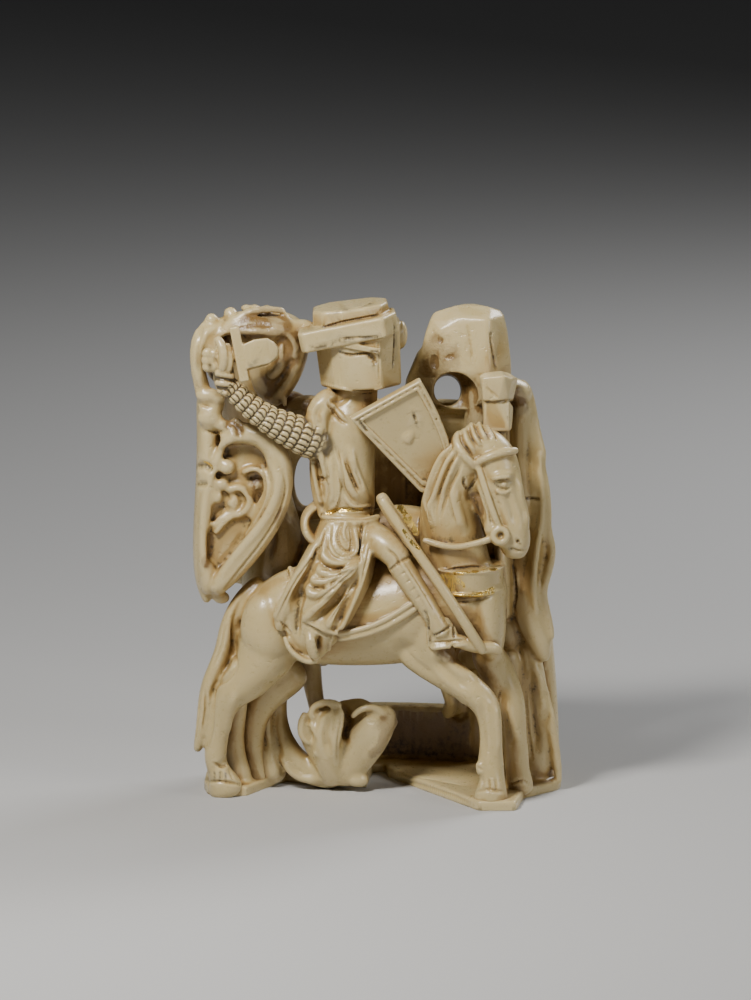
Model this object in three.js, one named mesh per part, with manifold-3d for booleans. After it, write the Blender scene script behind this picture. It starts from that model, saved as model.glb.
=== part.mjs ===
// A medieval chess piece: a knight in a great helm, riding to the right through
// foliage, carved with the horse from one upright length of walrus tusk.
// Millimetres, +Z up, +X the way the horse walks, -Y the side with the figures.
// The origin is the middle of the tusk's oval, on the surface that the piece stands on.
import * as THREE from "three";
import { mergeVertices } from "three/addons/utils/BufferGeometryUtils.js";
import Module from "manifold-3d";

// Driving sizes
const pieceHeight = 72;
const tuskWidth = 53;
const tuskDepth = 34;
const wallThickness = 3.2;
const wallHeight = 54;
const lowWallHeight = 9.1;
const footThickness = 1.4;
const shieldWidth = 11;
const shieldLength = 16.5;
const shieldThickness = 1.7;
const rimWidth = 0.85;
const rimHeight = 0.4;
const helmBandHeight = 2.8;
const helmBandOverhang = 0.8;
const eyeSlitHeight = 0.6;
const crossguardLength = 9.8;
const crossguardThickness = 1.4;
const hiltThickness = 1.6;
const scabbardThickness = 1.5;
const strapWidth = 3.8;
const strapThickness = 0.5;
const beltWidth = 1.3;
const reinThickness = 1;
const vineThickness = 3;
const vineRelief = 0.9;

// Free forms are drawn on a piece of these sizes, and keep their shares of them.
const drawn = { width: 53, depth: 34, height: 72 };
const wide = tuskWidth / drawn.width;
const deep = tuskDepth / drawn.depth;
const unit = pieceHeight / drawn.height;
const at = (x, y, z) => new THREE.Vector3(x * wide, y * deep, z * unit);

const wasm = await Module();
wasm.setup();

// Solids

function solid(geometry) {
  const bare = geometry.clone();
  bare.deleteAttribute("normal");
  bare.deleteAttribute("uv");
  const merged = mergeVertices(bare, 1e-4);
  const mesh = new wasm.Mesh({
    numProp: 3,
    vertProperties: merged.attributes.position.array,
    triVerts: new Uint32Array(merged.index.array),
  });
  return new wasm.Manifold(mesh);
}

const join = (solids) => solids.reduce((whole, next) => whole.add(next));

// Oval rings strung along a line, closed by a blunt tip at each end.
// A station is [x, y, z, half width, half depth]: the width lies in the plane of the
// horse's walk, and the depth runs along Y. Flutes swell every other side of the rings.
function limb(stations, { sides = 8, tip = 0.5, flute = 0 } = {}) {
  const centres = stations.map(([x, y, z]) => at(x, y, z));
  const last = centres.length - 1;
  const rings = centres.map((centre, i) => {
    const before = centres[Math.max(i - 1, 0)];
    const after = centres[Math.min(i + 1, last)];
    const along = after.clone().sub(before).normalize();
    const inward = new THREE.Vector3(0, 1, 0).addScaledVector(along, -along.y).normalize();
    const across = new THREE.Vector3().crossVectors(inward, along);
    const [, , , width, depth] = stations[i];
    return { centre, along, inward, across, width: width * unit, depth: depth * unit };
  });
  const skin = new THREE.SphereGeometry(1, sides, last + 2);
  const places = skin.attributes.position;
  for (let v = 0; v < places.count; v += 1) {
    const row = Math.floor(v / (sides + 1));
    const column = (v % (sides + 1)) % sides;
    const ring = rings[THREE.MathUtils.clamp(row - 1, 0, last)];
    const place = ring.centre.clone();
    if (row === 0 || row === last + 2) {
      const reach = tip * Math.min(ring.width, ring.depth) * (row === 0 ? -1 : 1);
      place.addScaledVector(ring.along, reach);
    } else {
      const turn = (-2 * Math.PI * (column + 0.5)) / sides;
      const swell = column % 2 ? 1 + flute : 1 - flute;
      place.addScaledVector(ring.across, ring.width * swell * Math.cos(turn));
      place.addScaledVector(ring.inward, ring.depth * swell * Math.sin(turn));
    }
    places.setXYZ(v, place.x, place.y, place.z);
  }
  return solid(skin);
}

// A raised line on a limb's front, at a share of its width that drifts on the way
function ridge(stations, shareFrom, shareTo, size) {
  const last = stations.length - 1;
  return limb(
    stations.map(([x, y, z, width, depth], i) => {
      const share = THREE.MathUtils.lerp(shareFrom, shareTo, i / last);
      const front = y - depth * Math.sqrt(1 - share * share);
      const next = stations[Math.min(i + 1, last)];
      const prior = stations[Math.max(i - 1, 0)];
      const slope = Math.atan2(next[2] - prior[2], next[0] - prior[0]);
      const side = share * width;
      return [x + side * Math.sin(slope), front, z - side * Math.cos(slope), size, size];
    }),
    { sides: 5 },
  );
}

function egg(x, y, z, width, depth, height) {
  const centre = at(x, y, z);
  const ball = new THREE.SphereGeometry(1, 6, 4);
  ball.scale(width * unit, depth * unit, height * unit);
  return solid(ball.translate(centre.x, centre.y, centre.z));
}

// A square bar from one place to another
function bar(from, to, width, depth) {
  const line = to.clone().sub(from);
  const box = new THREE.BoxGeometry(width, depth, line.length());
  const turn = new THREE.Quaternion().setFromUnitVectors(
    new THREE.Vector3(0, 0, 1),
    line.clone().normalize(),
  );
  const middle = from.clone().add(to).multiplyScalar(0.5);
  return solid(box.applyQuaternion(turn).translate(middle.x, middle.y, middle.z));
}

// The rider's head is turned a little to the right of straight ahead.
const helmSides = 8;
const headTurn = 9;
const helmTurn = THREE.MathUtils.degToRad(180 / helmSides + headTurn);

// A short upright drum with an oval plan, leaning to the left by a tilt
function drum(centre, lowWidth, highWidth, depthShare, height, tilt, sides) {
  const form = new THREE.CylinderGeometry(highWidth, lowWidth, height, sides);
  form.rotateX(Math.PI / 2);
  form.rotateZ(helmTurn);
  form.scale(1, depthShare, 1);
  form.rotateY(-tilt);
  return solid(form.translate(centre.x, centre.y, centre.z));
}

// The tusk: its oval, the pierced wall at the back and the broken foot

const wallDepth = tuskDepth - 2 * vineRelief;
const ovalY = (x) => (wallDepth / 2) * Math.sqrt(Math.max(0, 1 - ((2 * x) / tuskWidth) ** 2));

function ovalArc(inset, from, to, steps) {
  const curve = new THREE.EllipseCurve(
    0,
    0,
    tuskWidth / 2 - inset,
    wallDepth / 2 - inset,
    from,
    to,
  );
  return curve.getPoints(steps);
}

function wallBetween(fromDegrees, toDegrees, bottom, top) {
  const from = THREE.MathUtils.degToRad(fromDegrees);
  const to = THREE.MathUtils.degToRad(toDegrees);
  const steps = Math.round((toDegrees - fromDegrees) / 9);
  const plan = new THREE.Shape([
    ...ovalArc(0, from, to, steps),
    ...ovalArc(wallThickness, from, to, steps).reverse(),
  ]);
  const wall = new THREE.ExtrudeGeometry(plan, { depth: top - bottom, bevelEnabled: false });
  return solid(wall.translate(0, 0, bottom));
}

// A hole cut through the wall from front to back
function hole(x, z, halfWidth, halfHeight) {
  const form = new THREE.CylinderGeometry(1, 1, tuskDepth, 10);
  form.scale(halfWidth * wide, 1, halfHeight * unit);
  return solid(form.translate(x * wide, tuskDepth / 2, z * unit));
}

function wall() {
  const upper = wallBetween(38, 146, 15 * unit, wallHeight);
  const low = wallBetween(54, 108, 0, lowWallHeight);
  const clearOfTail = new THREE.BoxGeometry(tuskWidth, tuskDepth * 2, 26 * unit);
  clearOfTail.translate(-18.6 * wide - tuskWidth / 2, 0, 15 * unit);
  const holes = [
    hole(-10.2, 42.3, 1.7, 4),
    hole(1.7, 15, 8.8, 2.6),
    hole(17.2, 24, 2, 4),
    hole(4.5, wallHeight / unit + 0.6, 4.4, 2.2),
  ];
  const cuts = [solid(clearOfTail), ...holes];
  return cuts.reduce((left, cut) => left.subtract(cut), upper).add(low);
}

// The foot is broken: its front edge steps in and out between the hooves.
function foot() {
  const back = ovalArc(0, THREE.MathUtils.degToRad(-2), THREE.MathUtils.degToRad(158), 16);
  const brokenEdge = [
    [-24.6, -2], [-24.4, -7], [-21.5, -8.8], [-18, -8.4], [-16, -2], [-13, 2.7], [-7, 0],
    [-1.5, -1.4], [-0.6, 9], [1.2, 9.4], [1.6, 5.9], [8, -5.6], [14.4, -17], [19.7, -17],
    [21, -8.8], [26, -3],
  ];
  const plan = new THREE.Shape([
    ...back,
    ...brokenEdge.map(([x, y]) => new THREE.Vector2(x * wide, y * deep)),
  ]);
  const inner = new THREE.Path();
  inner.absellipse(-7 * wide, 8.5 * deep, 4.5 * wide, 3.5 * deep, 0, 2 * Math.PI);
  plan.holes.push(inner);
  const slab = { depth: footThickness, bevelEnabled: false, curveSegments: 5 };
  return solid(new THREE.ExtrudeGeometry(plan, slab));
}

// The rest of the tusk's heart, between the horse and the back wall
const heart = () =>
  join([
    limb([[-16, 4, 29, 8, 7], [-9, 5, 28.5, 10, 9], [12, 5, 29.5, 10, 9], [17.5, 4, 31, 8, 8]]),
    limb([[-14.6, 0, 30.6, 2.5, 4], [-12.4, 1, 35.5, 3, 5], [-14.4, 4, 41, 1.9, 6],
      [-15, 6, 48, 2, 5]]),
  ]);

// The horse

const barrel = [
  [-18.1, -6, 25.3, 4.5, 4.5], [-15.3, -6.5, 26.4, 6.3, 5.5], [-11.7, -7, 26.7, 7.3, 6],
  [-5.3, -7, 26.2, 7.4, 6.2], [1.9, -7.5, 26.5, 7.5, 6.5], [8.3, -8, 28.2, 8, 6.5],
  [13.3, -8.5, 29, 7.5, 6], [16.1, -9, 28.8, 5.5, 5],
];
const chest = [
  [14.4, -9, 33.1, 3, 5], [15.3, -9.5, 28.9, 3.2, 5], [15.9, -9.5, 23.8, 2.6, 5],
  [16.4, -9, 20.9, 1.5, 3],
];
const neck = [
  [12.1, -8.5, 30.8, 5, 4.8], [10.7, -9, 36.7, 4.9, 4.5], [10, -9.5, 41.9, 4.2, 4],
  [10.7, -10, 47.1, 3.8, 3.6], [12.7, -10.5, 50.8, 3.4, 3.3], [15.3, -10.5, 52.5, 2.6, 3],
];
const head = [
  [14.7, -10.5, 52.2, 2.6, 2.8], [16.6, -11, 50.1, 3.3, 3.2], [17.4, -11.5, 46.9, 3.2, 3.1],
  [18, -11.5, 43.7, 2.8, 2.7], [19, -12, 40.6, 2.4, 2.4], [19.6, -12, 38, 2.1, 2.2],
  [19.7, -12, 36.4, 1.4, 1.6],
];
const jaw = [
  [15.6, -12, 46.7, 2.2, 2.4], [15.7, -12, 43.5, 2.2, 2.2], [16.7, -12.5, 40.4, 1.8, 1.9],
  [17.9, -12.5, 38.4, 1.3, 1.5],
];
const legs = {
  nearFore: [
    [5, -10, 22.4, 3.4, 3.4], [10.7, -12, 18.3, 2.4, 2.6], [13.6, -13, 16.4, 2.2, 2.4],
    [15.6, -13.5, 14.6, 2.3, 2.3], [16, -14, 10.6, 1.7, 1.8], [15.9, -14, 7.2, 2, 2],
    [16.3, -14.5, 5.5, 1.8, 1.9], [16.3, -14.5, 2.9, 2.5, 2.4], [16.1, -14.5, 0.9, 2.7, 2.5],
  ],
  farFore: [
    [16.4, -7, 20.4, 2.5, 2.7], [19.6, -7, 14, 2, 2.1], [19.7, -7, 9.8, 1.6, 1.8],
    [20, -7, 6.4, 1.8, 1.8], [20.1, -7, 4, 1.5, 1.7], [20.7, -7, 1.3, 2, 2],
  ],
  nearHind: [
    [-15.6, -7.5, 22.7, 5.8, 4.8], [-16.4, -8, 19.6, 4.4, 4], [-18.9, -8, 16.7, 3.2, 3.1],
    [-21.3, -8, 14.5, 2.3, 2.4], [-22.7, -7, 8.1, 1.7, 1.8], [-23.2, -6.5, 5.5, 1.8, 1.8],
    [-22.9, -6.5, 3.7, 1.7, 1.9], [-21.9, -6, 1.4, 2.6, 2.6],
  ],
  farHind: [
    [-12.4, -3, 17.8, 3.7, 3.2], [-15.3, -2.5, 14.6, 2.8, 2.7], [-17.3, -2, 11.6, 2.2, 2.3],
    [-18, -1.5, 7.9, 1.8, 1.9], [-17.9, -1, 4.9, 1.8, 1.9], [-17, -0.5, 1.3, 2.2, 2.2],
  ],
};
const tail = [
  [-16.4, -4, 31.1, 1.5, 1.6], [-19.1, -4.5, 28.7, 1.8, 2], [-20.9, -5, 24.9, 1.9, 2.1],
  [-22.1, -5, 21.1, 1.9, 2], [-23.4, -5, 17.2, 2, 2], [-24.2, -5, 12.8, 1.8, 1.9],
  [-24.7, -5, 8.5, 1.5, 1.7], [-25.3, -5, 6, 1, 1.1],
];
const maneLocks = 3;
const foreLocks = 3;

function horse() {
  const body = [limb(barrel, { sides: 10 }), limb(chest), limb(neck), limb(head)];
  body.push(limb(jaw, { sides: 6 }));
  for (const leg of Object.values(legs)) {
    body.push(limb(leg, { sides: 6 }));
  }
  body.push(limb(tail, { sides: 5 }));
  for (let lock = 0; lock < maneLocks; lock += 1) {
    const share = THREE.MathUtils.lerp(-0.95, -0.3, lock / (maneLocks - 1));
    body.push(ridge(neck.slice(1, 5), share, share, 0.8));
  }
  for (let lock = 0; lock < foreLocks; lock += 1) {
    const x = 11.6 + lock * 1.35;
    body.push(limb([[x, -12.4, 54.3, 0.6, 0.8], [x + 0.5, -13.6, 52.4, 0.8, 0.8],
      [x + 0.2, -13.5, 50.4, 0.5, 0.6]], { sides: 5 }));
  }
  body.push(egg(12.2, -11, 54, 0.9, 1.1, 1.6));
  body.push(egg(18, -14.1, 47.4, 0.8, 0.6, 0.6));
  return join(body);
}

// Bridle, rein, breast strap and the rim of the saddle cloth
function tack() {
  const size = reinThickness / 2 / unit;
  const cord = (places) => limb(places.map((place) => [...place, size, size]), { sides: 5 });
  const strap = { high: 5.3, low: 4.9, depthShare: 1.24, place: at(12.9, -8.6, 32.2) };
  const strapForm = new THREE.CylinderGeometry(strap.high, strap.low, strapWidth, 12);
  strapForm.rotateX(Math.PI / 2);
  strapForm.scale(unit, strap.depthShare * unit, 1);
  strapForm.translate(strap.place.x, strap.place.y - strapThickness / 2, strap.place.z);
  return join([
    cord([[6.7, -13.3, 38.3], [9, -14, 37.6], [11.6, -14.1, 37.3], [15, -14, 38.2],
      [17.1, -13.9, 39]]),
    cord([[13.9, -13.3, 49.4], [16.1, -14.1, 50.6], [18.3, -13.6, 51.1], [20, -11.5, 51]]),
    cord([[14.1, -13.3, 49.2], [15.2, -14.1, 45.6], [17.1, -13.9, 39.6]]),
    egg(17.4, -14.2, 39.2, 1.2, 0.8, 1.2),
    solid(strapForm),
    cord([[-3.7, -13.4, 25.2], [-0.3, -14, 26.2], [2.6, -14.2, 27.9], [5.2, -14.4, 29.6]]),
  ]);
}

// The knight

const torso = [
  [-3.9, -8, 40.8, 3.8, 3.5], [-3.6, -8, 43.8, 4.3, 3.8], [-3.4, -8, 48.2, 4.4, 4],
  [-3.7, -8, 51.8, 4.3, 4], [-3.9, -8, 54, 3.6, 3.5], [-3.6, -7.5, 56.1, 2.8, 2.8],
  [-3.1, -7, 58.6, 2.6, 2.6],
];
const skirt = [
  [-3.9, -8, 40.8, 3.9, 3.7], [-4.4, -9, 37.5, 4.6, 4.5], [-5.6, -10, 33.3, 5.6, 5],
  [-7.4, -10.5, 29, 6, 5], [-9.3, -11, 24.8, 4.8, 4.2], [-9.4, -11, 22.4, 3, 3.2],
  [-9, -11, 21.1, 1.5, 2],
];
const sleeve = [
  [-8, -9, 51.6, 2.9, 2.6], [-11, -10, 53, 2.6, 2.5], [-13.4, -10.5, 54.1, 2.3, 2.3],
  [-16, -11, 55.5, 1.8, 2], [-18.7, -11, 57.8, 1.6, 1.8], [-20.7, -11, 59.9, 1.5, 1.7],
];
const mailRows = 6;
const fingers = 4;

// Rows of mail stand out of the sleeve one after another.
function mail() {
  const line = new THREE.CatmullRomCurve3(sleeve.map(([x, y, z]) => new THREE.Vector3(x, y, z)));
  const rows = [];
  for (let row = 0; row <= 2 * mailRows; row += 1) {
    const along = row / (2 * mailRows);
    const place = line.getPoint(along);
    const swell = row % 2 ? 1.06 : 0.94;
    const width = THREE.MathUtils.lerp(2.8, 1.55, along) * swell;
    const depth = THREE.MathUtils.lerp(2.6, 1.7, along) * swell;
    rows.push([place.x, place.y, place.z, width, depth]);
  }
  return limb(rows);
}

function rider() {
  const waist = { width: 4.15, depth: 3.86, place: at(-3.9, -8, 41) };
  const belt = new THREE.CylinderGeometry(1, 1, beltWidth, 12);
  belt.rotateX(Math.PI / 2);
  belt.scale(waist.width * unit, waist.depth * unit, 1);
  belt.translate(waist.place.x, waist.place.y, waist.place.z);
  const figure = [
    limb(torso, { sides: 14, flute: 0.05 }),
    limb(skirt, { sides: 18, flute: 0.09 }),
    mail(),
    solid(belt),
    limb([[-1.3, -10, 38.4, 2.6, 3], [1.6, -13, 37.4, 2.2, 2.2], [3.3, -13.6, 35.4, 2, 1.8]]),
    limb([[2.9, -13.6, 35.4, 1.9, 1.8], [5, -14.2, 32.2, 1.8, 1.8], [7.1, -14.6, 29.2, 1.7, 1.7],
      [8.7, -14.8, 26.6, 1.6, 1.6], [9.4, -14.8, 25, 1.8, 1.6]]),
    limb([[8.6, -14.8, 24.9, 1.5, 1.5], [10.4, -15.1, 24.5, 1.4, 1.5], [12.3, -15.1, 24.4, 1.1, 1.2],
      [13.1, -15, 23.9, 0.6, 0.8]], { sides: 6 }),
    limb([[0.6, -11, 44.1, 1, 1.5], [1.9, -12.3, 42, 1, 1.2], [3.6, -13.2, 39.6, 0.9, 1],
      [5, -14, 37.6, 0.9, 1]], { sides: 6 }),
    limb([[-7, -6, 42.6, 0.7, 2], [-9.5, -7, 41.8, 0.8, 2.5], [-10.4, -8, 40.2, 0.8, 2.5],
      [-9.9, -9, 38.2, 0.8, 2.2], [-8, -9.5, 36.8, 0.7, 1.8]], { sides: 6 }),
  ];
  return join(figure);
}

// The great helm leans back a little, with a brow band, an eye slit and a flat top.
function helm() {
  const tilt = THREE.MathUtils.degToRad(9);
  const up = new THREE.Vector3(-Math.sin(tilt), 0, Math.cos(tilt));
  const right = new THREE.Vector3(Math.cos(tilt), 0, Math.sin(tilt));
  const base = at(-3.4, -7, 59.2);
  const spot = (across, height) =>
    base.clone().addScaledVector(right, across * unit).addScaledVector(up, height * unit);
  // Heights above the chin, and half widths
  const rise = { chin: -0.4, eyes: 5.3, brow: 8.2, top: 12.2 };
  const half = { chin: 5.4, brow: 6.3, crown: 6.1, top: 5.4 };
  const depthShare = 0.92;
  const part = (across, bottom, top, low, high) =>
    drum(spot(across, (bottom + top) / 2), low * unit, high * unit, depthShare,
      (top - bottom) * unit, tilt, helmSides);
  const bandLift = helmBandHeight / unit / 2;
  const browWidth = half.brow * unit + helmBandOverhang;
  const slit = new THREE.BoxGeometry(8 * unit, 3 * unit, eyeSlitHeight);
  slit.rotateY(-tilt);
  const slitPlace = spot(1.2, rise.eyes).add(at(0, -half.brow, 0));
  return join([
    part(0.5, rise.chin, rise.brow - bandLift + 0.2, half.chin, half.brow),
    part(1, rise.brow, rise.top, half.crown, half.top),
    drum(spot(0.8, rise.brow), browWidth, browWidth, depthShare, helmBandHeight, tilt, helmSides),
  ]).subtract(solid(slit.translate(slitPlace.x, slitPlace.y, slitPlace.z)));
}

// The outline starts at the corner by the rider's shoulder; the near side is the long one.
function shieldOutline(inset) {
  const low = -shieldLength + 1.5 * inset;
  const outline = new THREE.Shape();
  outline.moveTo(1.2 * inset, -inset);
  outline.lineTo(shieldWidth - inset, -inset);
  outline.quadraticCurveTo(shieldWidth - inset, low * 0.7, shieldWidth * 0.6, low);
  outline.lineTo(shieldWidth * 0.33 + inset, low * 0.8);
  return outline;
}

// A plain shield with a raised rim, hung slantwise in front of the horse's neck
function shield() {
  const slab = (inset, thickness) =>
    new THREE.ExtrudeGeometry(shieldOutline(inset), {
      depth: thickness,
      bevelEnabled: false,
      curveSegments: 4,
    });
  const corner = at(-3.9, -12.8, 56.1);
  const stand = new THREE.Matrix4()
    .makeTranslation(corner.x, corner.y, corner.z)
    .multiply(new THREE.Matrix4().makeRotationY(THREE.MathUtils.degToRad(-30)))
    .multiply(new THREE.Matrix4().makeRotationX(THREE.MathUtils.degToRad(90)));
  const field = slab(rimWidth, rimHeight * 2).translate(0, 0, shieldThickness - rimHeight);
  const arm = limb([[-1, -8, 55, 2, 2.4], [2, -10.5, 54, 2.2, 2], [5, -12.3, 53, 1.8, 1.2]]);
  return solid(slab(0, shieldThickness).applyMatrix4(stand))
    .subtract(solid(field.applyMatrix4(stand)))
    .add(arm);
}

// The raised hand, the crossguard and the stump of the broken blade
function swordHand() {
  // The fingers are rings that stand out one above another.
  const fist = [[-21.2, -11, 59.6, 1.5, 1.7]];
  for (let ring = 0; ring <= 2 * fingers; ring += 1) {
    const swell = ring % 2 ? 1.95 : 1.55;
    fist.push([-21.7, -11.3, 60.6 + ring * 0.7, swell, swell]);
  }
  // The guard and the blade are placed from the middle of the fist that holds them.
  const grip = at(-21.7, -11.3, 63.4);
  const fromGrip = (x, y, z) => new THREE.Vector3(x, y, z).multiplyScalar(unit).add(grip);
  const blade = new THREE.CylinderGeometry(1, 1, 6.2 * unit, 6);
  blade.scale(1.5 * unit, 1, 2 * unit);
  blade.rotateZ(Math.PI / 2);
  blade.rotateY(THREE.MathUtils.degToRad(-7));
  const bladePlace = fromGrip(5.1, -0.7, 1.4);
  const guardHead = fromGrip(1.4, -0.5, 6.3);
  const guardFoot = fromGrip(3.7, -0.7, -3.2);
  const middle = guardHead.clone().add(guardFoot).multiplyScalar(0.5);
  const reach = guardHead.clone().sub(guardFoot).setLength(crossguardLength / 2);
  // The hilt runs from the pommel through the fist to the root of the blade.
  const hiltEnd = fromGrip(3.4, -0.6, 1);
  return join([
    limb(fist, { sides: 6, tip: 0.3 }),
    egg(-23.6, -11, 63.3, 1.3, 1.3, 1.3),
    bar(fromGrip(-1.6, 0.2, 0), hiltEnd, hiltThickness, hiltThickness),
    solid(blade.translate(bladePlace.x, bladePlace.y, bladePlace.z)),
    bar(middle.clone().sub(reach), middle.clone().add(reach), crossguardThickness,
      crossguardThickness * 1.4),
  ]);
}

const scabbard = () => {
  const size = scabbardThickness / 2 / unit;
  const places = [[5.1, -14.3, 37.6], [7.6, -15.3, 34.6], [10.7, -15.8, 29.7], [13.3, -15.6, 25.4],
    [15.3, -14.6, 22.1]];
  return limb(places.map((place) => [...place, size, size * 1.1]), { sides: 6 });
};

const rimLobes = 3;
const podRibs = 2;

// Foliage on the left: a cupped leaf behind the sword hand, and a long curled pod
function leftFoliage() {
  const cupRim = [
    [-24.2, -5, 56.8, 1.2, 2], [-25.3, -5.5, 60.8, 1, 2.5], [-25.6, -6, 64.5, 1, 2.5],
    [-24.6, -6, 67.4, 1.2, 2.5], [-22.9, -5, 68.5, 1.4, 2.5], [-20.3, -4, 69, 1.3, 3],
    [-17, -3, 69.2, 1.3, 3], [-13.4, -3, 68.6, 1.5, 3], [-11, -3.5, 67, 1.6, 3],
    [-10.8, -4, 64.1, 1.5, 3], [-12.2, -4, 60.1, 1.5, 3], [-14.6, -4, 56.9, 1.4, 3],
  ];
  const leftEdge = [
    [-24.2, -3.5, 57.5, 1.6, 3.4], [-23.8, -4, 51.5, 1.8, 3.6], [-24.2, -4, 45, 1.6, 3.8],
    [-24.8, -4, 39.2, 1.4, 3.8], [-25, -4, 34.2, 1.3, 3.6], [-24.8, -4.5, 30.8, 1.2, 2.4],
    [-24.2, -5, 28, 0.7, 1],
  ];
  const podStem = [
    [-21.6, -7, 52.1, 1.3, 1.4], [-18.1, -7.5, 53, 1.7, 1.8], [-15, -8, 51.7, 1.9, 2],
    [-13.6, -8, 48.5, 1.9, 2.2], [-13.6, -8, 44.5, 1.9, 2.2], [-14.9, -8, 40.8, 2, 2.2],
    [-17.6, -8, 36.6, 1.9, 2.2], [-20.4, -7.5, 33, 1.7, 2], [-22.9, -7, 30.2, 1.4, 1.8],
  ];
  const podWeb = [
    [-18, -4.5, 51.5, 4, 1.2], [-18.5, -4.5, 46, 5.6, 1.2], [-19.5, -4.5, 41, 5.2, 1.2],
    [-21.5, -4.5, 35, 3.4, 1.2], [-23.5, -4.5, 30.5, 1.4, 1.1],
  ];
  const leaves = [
    limb(cupRim, { sides: 6 }), limb(leftEdge, { sides: 6 }), limb(podStem, { flute: 0.12 }),
    limb(podWeb, { sides: 6 }),
    egg(-18.4, -1, 62.9, 6.6, 2.2, 6.4),
    limb([[-18, 0, 60, 4.5, 2.5], [-18, 4, 55, 5, 3], [-17.5, 8, 50, 5, 3]]),
    limb([[-17.4, -6, 67, 1.8, 1.8], [-15, -6.5, 67.4, 2, 1.8], [-12.4, -6, 67.2, 1.6, 1.6],
      [-9.5, -6, 67.5, 1.3, 1.5]], { sides: 6 }),
    limb([[-15, -6, 60.8, 1, 2], [-13.2, -6.4, 62.8, 1, 2], [-13.2, -6, 65.6, 1, 2]],
      { sides: 6 }),
  ];
  // The palmette that curls inside the pod, with a lobed rim
  const lobes = [];
  for (let step = 0; step <= 2 * rimLobes; step += 1) {
    const turn = THREE.MathUtils.degToRad(60 + step * 24);
    const size = step % 2 ? 1.6 : 0.9;
    lobes.push([-19.2 + 2.8 * Math.cos(turn), -7.6, 47.2 + 3.3 * Math.sin(turn), size, 1.7]);
  }
  leaves.push(limb(lobes, { sides: 5 }));
  leaves.push(limb([[-16.8, -6.6, 49.6, 0.8, 1.6], [-18.2, -7.4, 46.4, 1, 1.6],
    [-21, -7.8, 43.8, 0.8, 1.4], [-18.9, -7.8, 41.8, 0.7, 1.2]], { sides: 5 }));
  for (let rib = 0; rib < podRibs; rib += 1) {
    const x = -19 - rib * 2.4;
    const z = 39.6 - rib * 3.4;
    leaves.push(limb([[x + 2.2, -6, z - 1.8, 0.7, 1.2], [x, -6.4, z, 0.8, 1.1],
      [x - 2.6, -6, z - 1.4, 0.5, 1]], { sides: 5 }));
  }
  return join(leaves);
}

// A tulip-shaped leaf under the horse, on a stem that curls up from the foot
function tulip() {
  return join([
    limb([[-13.6, 0, 16.5, 1.6, 1.8], [-14.3, 0, 14.1, 1.6, 1.6], [-14.6, 0, 10.5, 1.6, 1.6],
      [-13.9, -0.5, 7, 1.8, 1.8], [-12, -1, 3.9, 2, 2], [-9.3, -1.5, 2.1, 2, 2],
      [-6, -2, 2, 2.2, 2.3]]),
    limb([[-15.9, 0, 12.9, 1.2, 1.3], [-16.3, 0, 6.9, 1.4, 1.5], [-15.6, 0, 3.2, 1.8, 1.8],
      [-14.6, 0, 1.3, 2, 2]], { sides: 6 }),
    limb([[-6.1, -3, 1.8, 2, 2], [-6.9, -4.5, 4.8, 2.2, 1.5], [-7.1, -5.5, 7.8, 2.2, 1.2],
      [-6.7, -6, 10.5, 1.7, 1], [-6.1, -6, 12.1, 0.8, 0.6]], { sides: 6 }),
    limb([[-5, -3, 1.9, 2.2, 2], [-3.3, -4, 5, 3, 1.6], [-1.1, -5, 8, 3, 1.4],
      [0.7, -5.5, 10.7, 2.5, 1.2], [1.9, -5, 12.1, 1.4, 0.8]], { sides: 6 }),
    limb([[-7.4, -3, 3, 1.2, 1.4], [-8.1, -3, 4.5, 1.2, 1.4], [-9.6, -3.5, 7.2, 1.3, 1.2],
      [-10.1, -4, 9.2, 1.3, 1.2], [-9.9, -3.5, 10.8, 0.9, 0.8]], { sides: 6 }),
    limb([[-4.6, -1.5, 2.4, 3.2, 1.6], [-3.9, 0.6, 7.6, 4.8, 1.3], [-3.6, 1.4, 10.8, 4.4, 1],
      [-3.8, 1.5, 12.1, 2.5, 0.7]]),
    limb([[-10, 3, 20.5, 2, 2.2], [-9.3, 1.4, 14.6, 1.4, 1.4], [-8, 0.4, 8.4, 1.1, 1.1]],
      { sides: 6 }),
    limb([[9.6, 3, 20, 2, 2.2], [10.4, 5.5, 13.6, 1.5, 1.6], [12.3, 12, 8, 1.5, 1.6]],
      { sides: 6 }),
  ]);
}

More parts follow.
